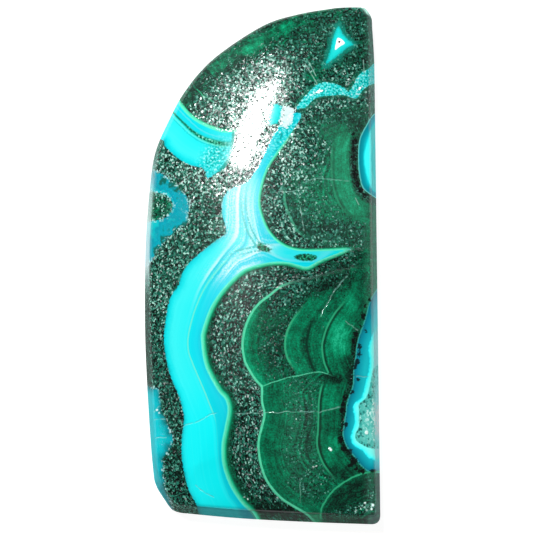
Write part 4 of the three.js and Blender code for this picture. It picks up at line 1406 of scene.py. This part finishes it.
# Painted sheen: pale light on the straight side's wall, and the white sheet mirrored in the long side's wall.
finished = over(finished, PAINTED_WALL_SHEEN, on_wall * (layer("painted_straight_wall_light") + layer("wall_sheen") * 0.34))
# The long side's wall is painted darker below its sheen.
finished = over(finished, BLACK_ROCK_AND_SHADE, on_wall * layer("left_dark") * 0.5)
finished = over(finished, BLACK_ROCK_AND_SHADE, on_wall * painted_foot_wall_shade * 0.4)
print("cracks drawn:", len(CRACKS_PX))

# %% [markdown]
# The polish is glassy on the turquoise and the silky bands. The coarse grains polish less well:
# each lies at a slightly different tilt, so near the reflection of a lamp single grains flash
# white. The wall and the back are only ground, and stay dull, but for part of the long side's wall,
# which keeps some gloss and has a painted sheen of reflected light.

# %% Gloss and relief
turquoise = in_ribbon.math("MAXIMUM", inside_of(pocket)).math("MAXIMUM", inside_of(patch_edge))
turquoise = turquoise.math("MAXIMUM", inside_of(blob))
coarse = (grains["Grain"] * (1.0 - turquoise)).math("MAXIMUM", inside_of(druse) * 0.8)
polished = on_top
tilt_amount = coarse * polished * layer("undercut_and_glare_light") * 0.34
tilt = vector(ore, "MULTIPLY", grains["Tilt"], as_vector(ore, tilt_amount))
surface_normal = add_node(ore, "ShaderNodeNewGeometry").outputs["Normal"]
tilted = vector(ore, "NORMALIZE", vector(ore, "ADD", surface_normal, tilt))
ground = noise(ore, place_mm, 0.12, 3.0) * (1.0 - polished) * (1.0 - layer("wall_sheen") * 0.8)
relief = ground * 0.05 - coarse * grains["Tone"] * 0.012 - cracks * 0.02 + flecks * 0.02
bumpy = add_node(ore, "ShaderNodeBump", {"Strength": 1.0, "Distance": MM, "Height": relief, "Normal": tilted})
gloss = 0.09 + coarse * (0.05 + layer("undercut_and_glare_light") * 0.08) + in_ribbon * layer("satin") * 0.08 + mottle * 0.03
roughness = gloss * polished + (1.0 - polished) * (1.0 - layer("wall_sheen") * 0.72)

shader = add_node(ore, "ShaderNodeBsdfPrincipled", {
    "Base Color": finished, "Roughness": roughness, "Normal": bumpy.outputs[0], "IOR": 1.45})
add_node(ore, "ShaderNodeOutputMaterial", {"Surface": shader.outputs[0]})
print("finish nodes:", len(ore.nodes))

# %% [markdown]
# The stone gets a map of its own: the face with the wall opened out flat round it on the left, and
# the back on the right.

# %% Map the stone
FACE_PLOT = ((-10.6, 10.6, 0.01, 0.69), (-20.6, 20.6, 0.01, 0.99))
BACK_PLOT = ((-8.3, 8.3, 0.71, 0.99), (-18.3, 18.3, 0.01, 0.99))


def plotted(values, plot):
    """Moves millimetres into their part of the map."""
    low, high, map_low, map_high = plot
    return map_low + (values - low) / (high - low) * (map_high - map_low)


opened = np.empty(len(mesh.vertices) * 3, np.float32)
mesh.attributes["opened_flat"].data.foreach_get("vector", opened)
opened = opened.reshape(-1, 3)
mesh.attributes.remove(mesh.attributes["opened_flat"])
corners = np.empty(len(mesh.loops), np.int32)
mesh.loops.foreach_get("vertex_index", corners)
corner_height = stone_mm[corners, 2].reshape(-1, 4)
is_back = np.repeat(corner_height.max(axis=1) < RIM_SIZES["Back Bevel Up"] + 0.01, 4)[:, None]
face_map = np.column_stack([plotted(opened[corners, axis], FACE_PLOT[axis]) for axis in (0, 1)])
back_map = np.column_stack([plotted(stone_mm[corners, axis], BACK_PLOT[axis]) for axis in (0, 1)])
while mesh.uv_layers:
    mesh.uv_layers.remove(mesh.uv_layers[0])
bake_map = mesh.uv_layers.new(name="OFBake")
bake_map.data.foreach_set("uv", np.where(is_back, back_map, face_map).astype(np.float32).ravel())
mesh.set_sharp_from_angle(angle=math.radians(24))
print("map reaches", face_map.min(axis=0).round(3), face_map.max(axis=0).round(3))

# %% Put the stone in the place of its CAD solid
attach(stone, "root")
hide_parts("cabochon")

# %% [markdown]
# The studio is a white sheet and two soft lamps in a nearly dark surround. One long lamp, up and to
# the left, gives the glare across the sweep. A much weaker one beside it carries the glare a little
# down the ribbon. The surround mirrors little into the polished face, so the dark bands stay dark.

# %% Floor
FLOOR_HALF = 0.6
floor_mesh = bpy.data.meshes.new("sheet")
floor_corners = [(-FLOOR_HALF, -FLOOR_HALF, 0), (FLOOR_HALF, -FLOOR_HALF, 0),
                 (FLOOR_HALF, FLOOR_HALF, 0), (-FLOOR_HALF, FLOOR_HALF, 0)]
floor_mesh.from_pydata(floor_corners, [], [(0, 1, 2, 3)])
floor = bpy.data.objects.new("white_sheet", floor_mesh)
bpy.context.scene.collection.objects.link(floor)
paper = bpy.data.materials.new("white paper")
paper.use_nodes = True
paper_shader = paper.node_tree.nodes["Principled BSDF"]
paper_shader.inputs["Base Color"].default_value = (0.2, 0.2, 0.2, 1.0)
paper_shader.inputs["Roughness"].default_value = 0.9
paper_shader.inputs["Specular IOR Level"].default_value = 0.1
paper_shader.inputs["Emission Color"].default_value = (1.0, 1.0, 1.0, 1.0)
paper_shader.inputs["Emission Strength"].default_value = 0.95
floor_mesh.materials.append(paper)


# %% Lamps
def lamp(name, toward, long_side, distance, size, radiance):
    """An area lamp that faces the stone: where it stands, which way its long side runs, its size."""
    outward = Vector(toward).normalized()
    across = Vector(long_side).cross(outward).normalized()
    data = bpy.data.lights.new(name, "AREA")
    data.shape = "RECTANGLE"
    data.size, data.size_y = size
    data.energy = radiance * math.pi * size[0] * size[1]
    rig = bpy.data.objects.new(name, data)
    facing = Matrix((across, outward.cross(across), outward)).transposed()
    rig.matrix_world = Matrix.Translation(outward * distance) @ facing.to_4x4()
    bpy.context.scene.collection.objects.link(rig)
    return rig


lamp("glare_lamp", (-0.234, 0.397, 0.889), (-0.07, -0.28, 0.11), 0.5, (0.06, 0.146), 141.0)
lamp("haze_lamp", (-0.25, 0.17, 0.95), (1.0, 0.0, 0.26), 0.5, (0.03, 0.09), 6.0)
world = bpy.data.worlds.new("dark studio")
world.use_nodes = True
world.node_tree.nodes["Background"].inputs[0].default_value = (1.0, 1.0, 1.0, 1.0)
world.node_tree.nodes["Background"].inputs[1].default_value = 0.08
bpy.context.scene.world = world
bpy.context.scene.view_settings.view_transform = "Standard"
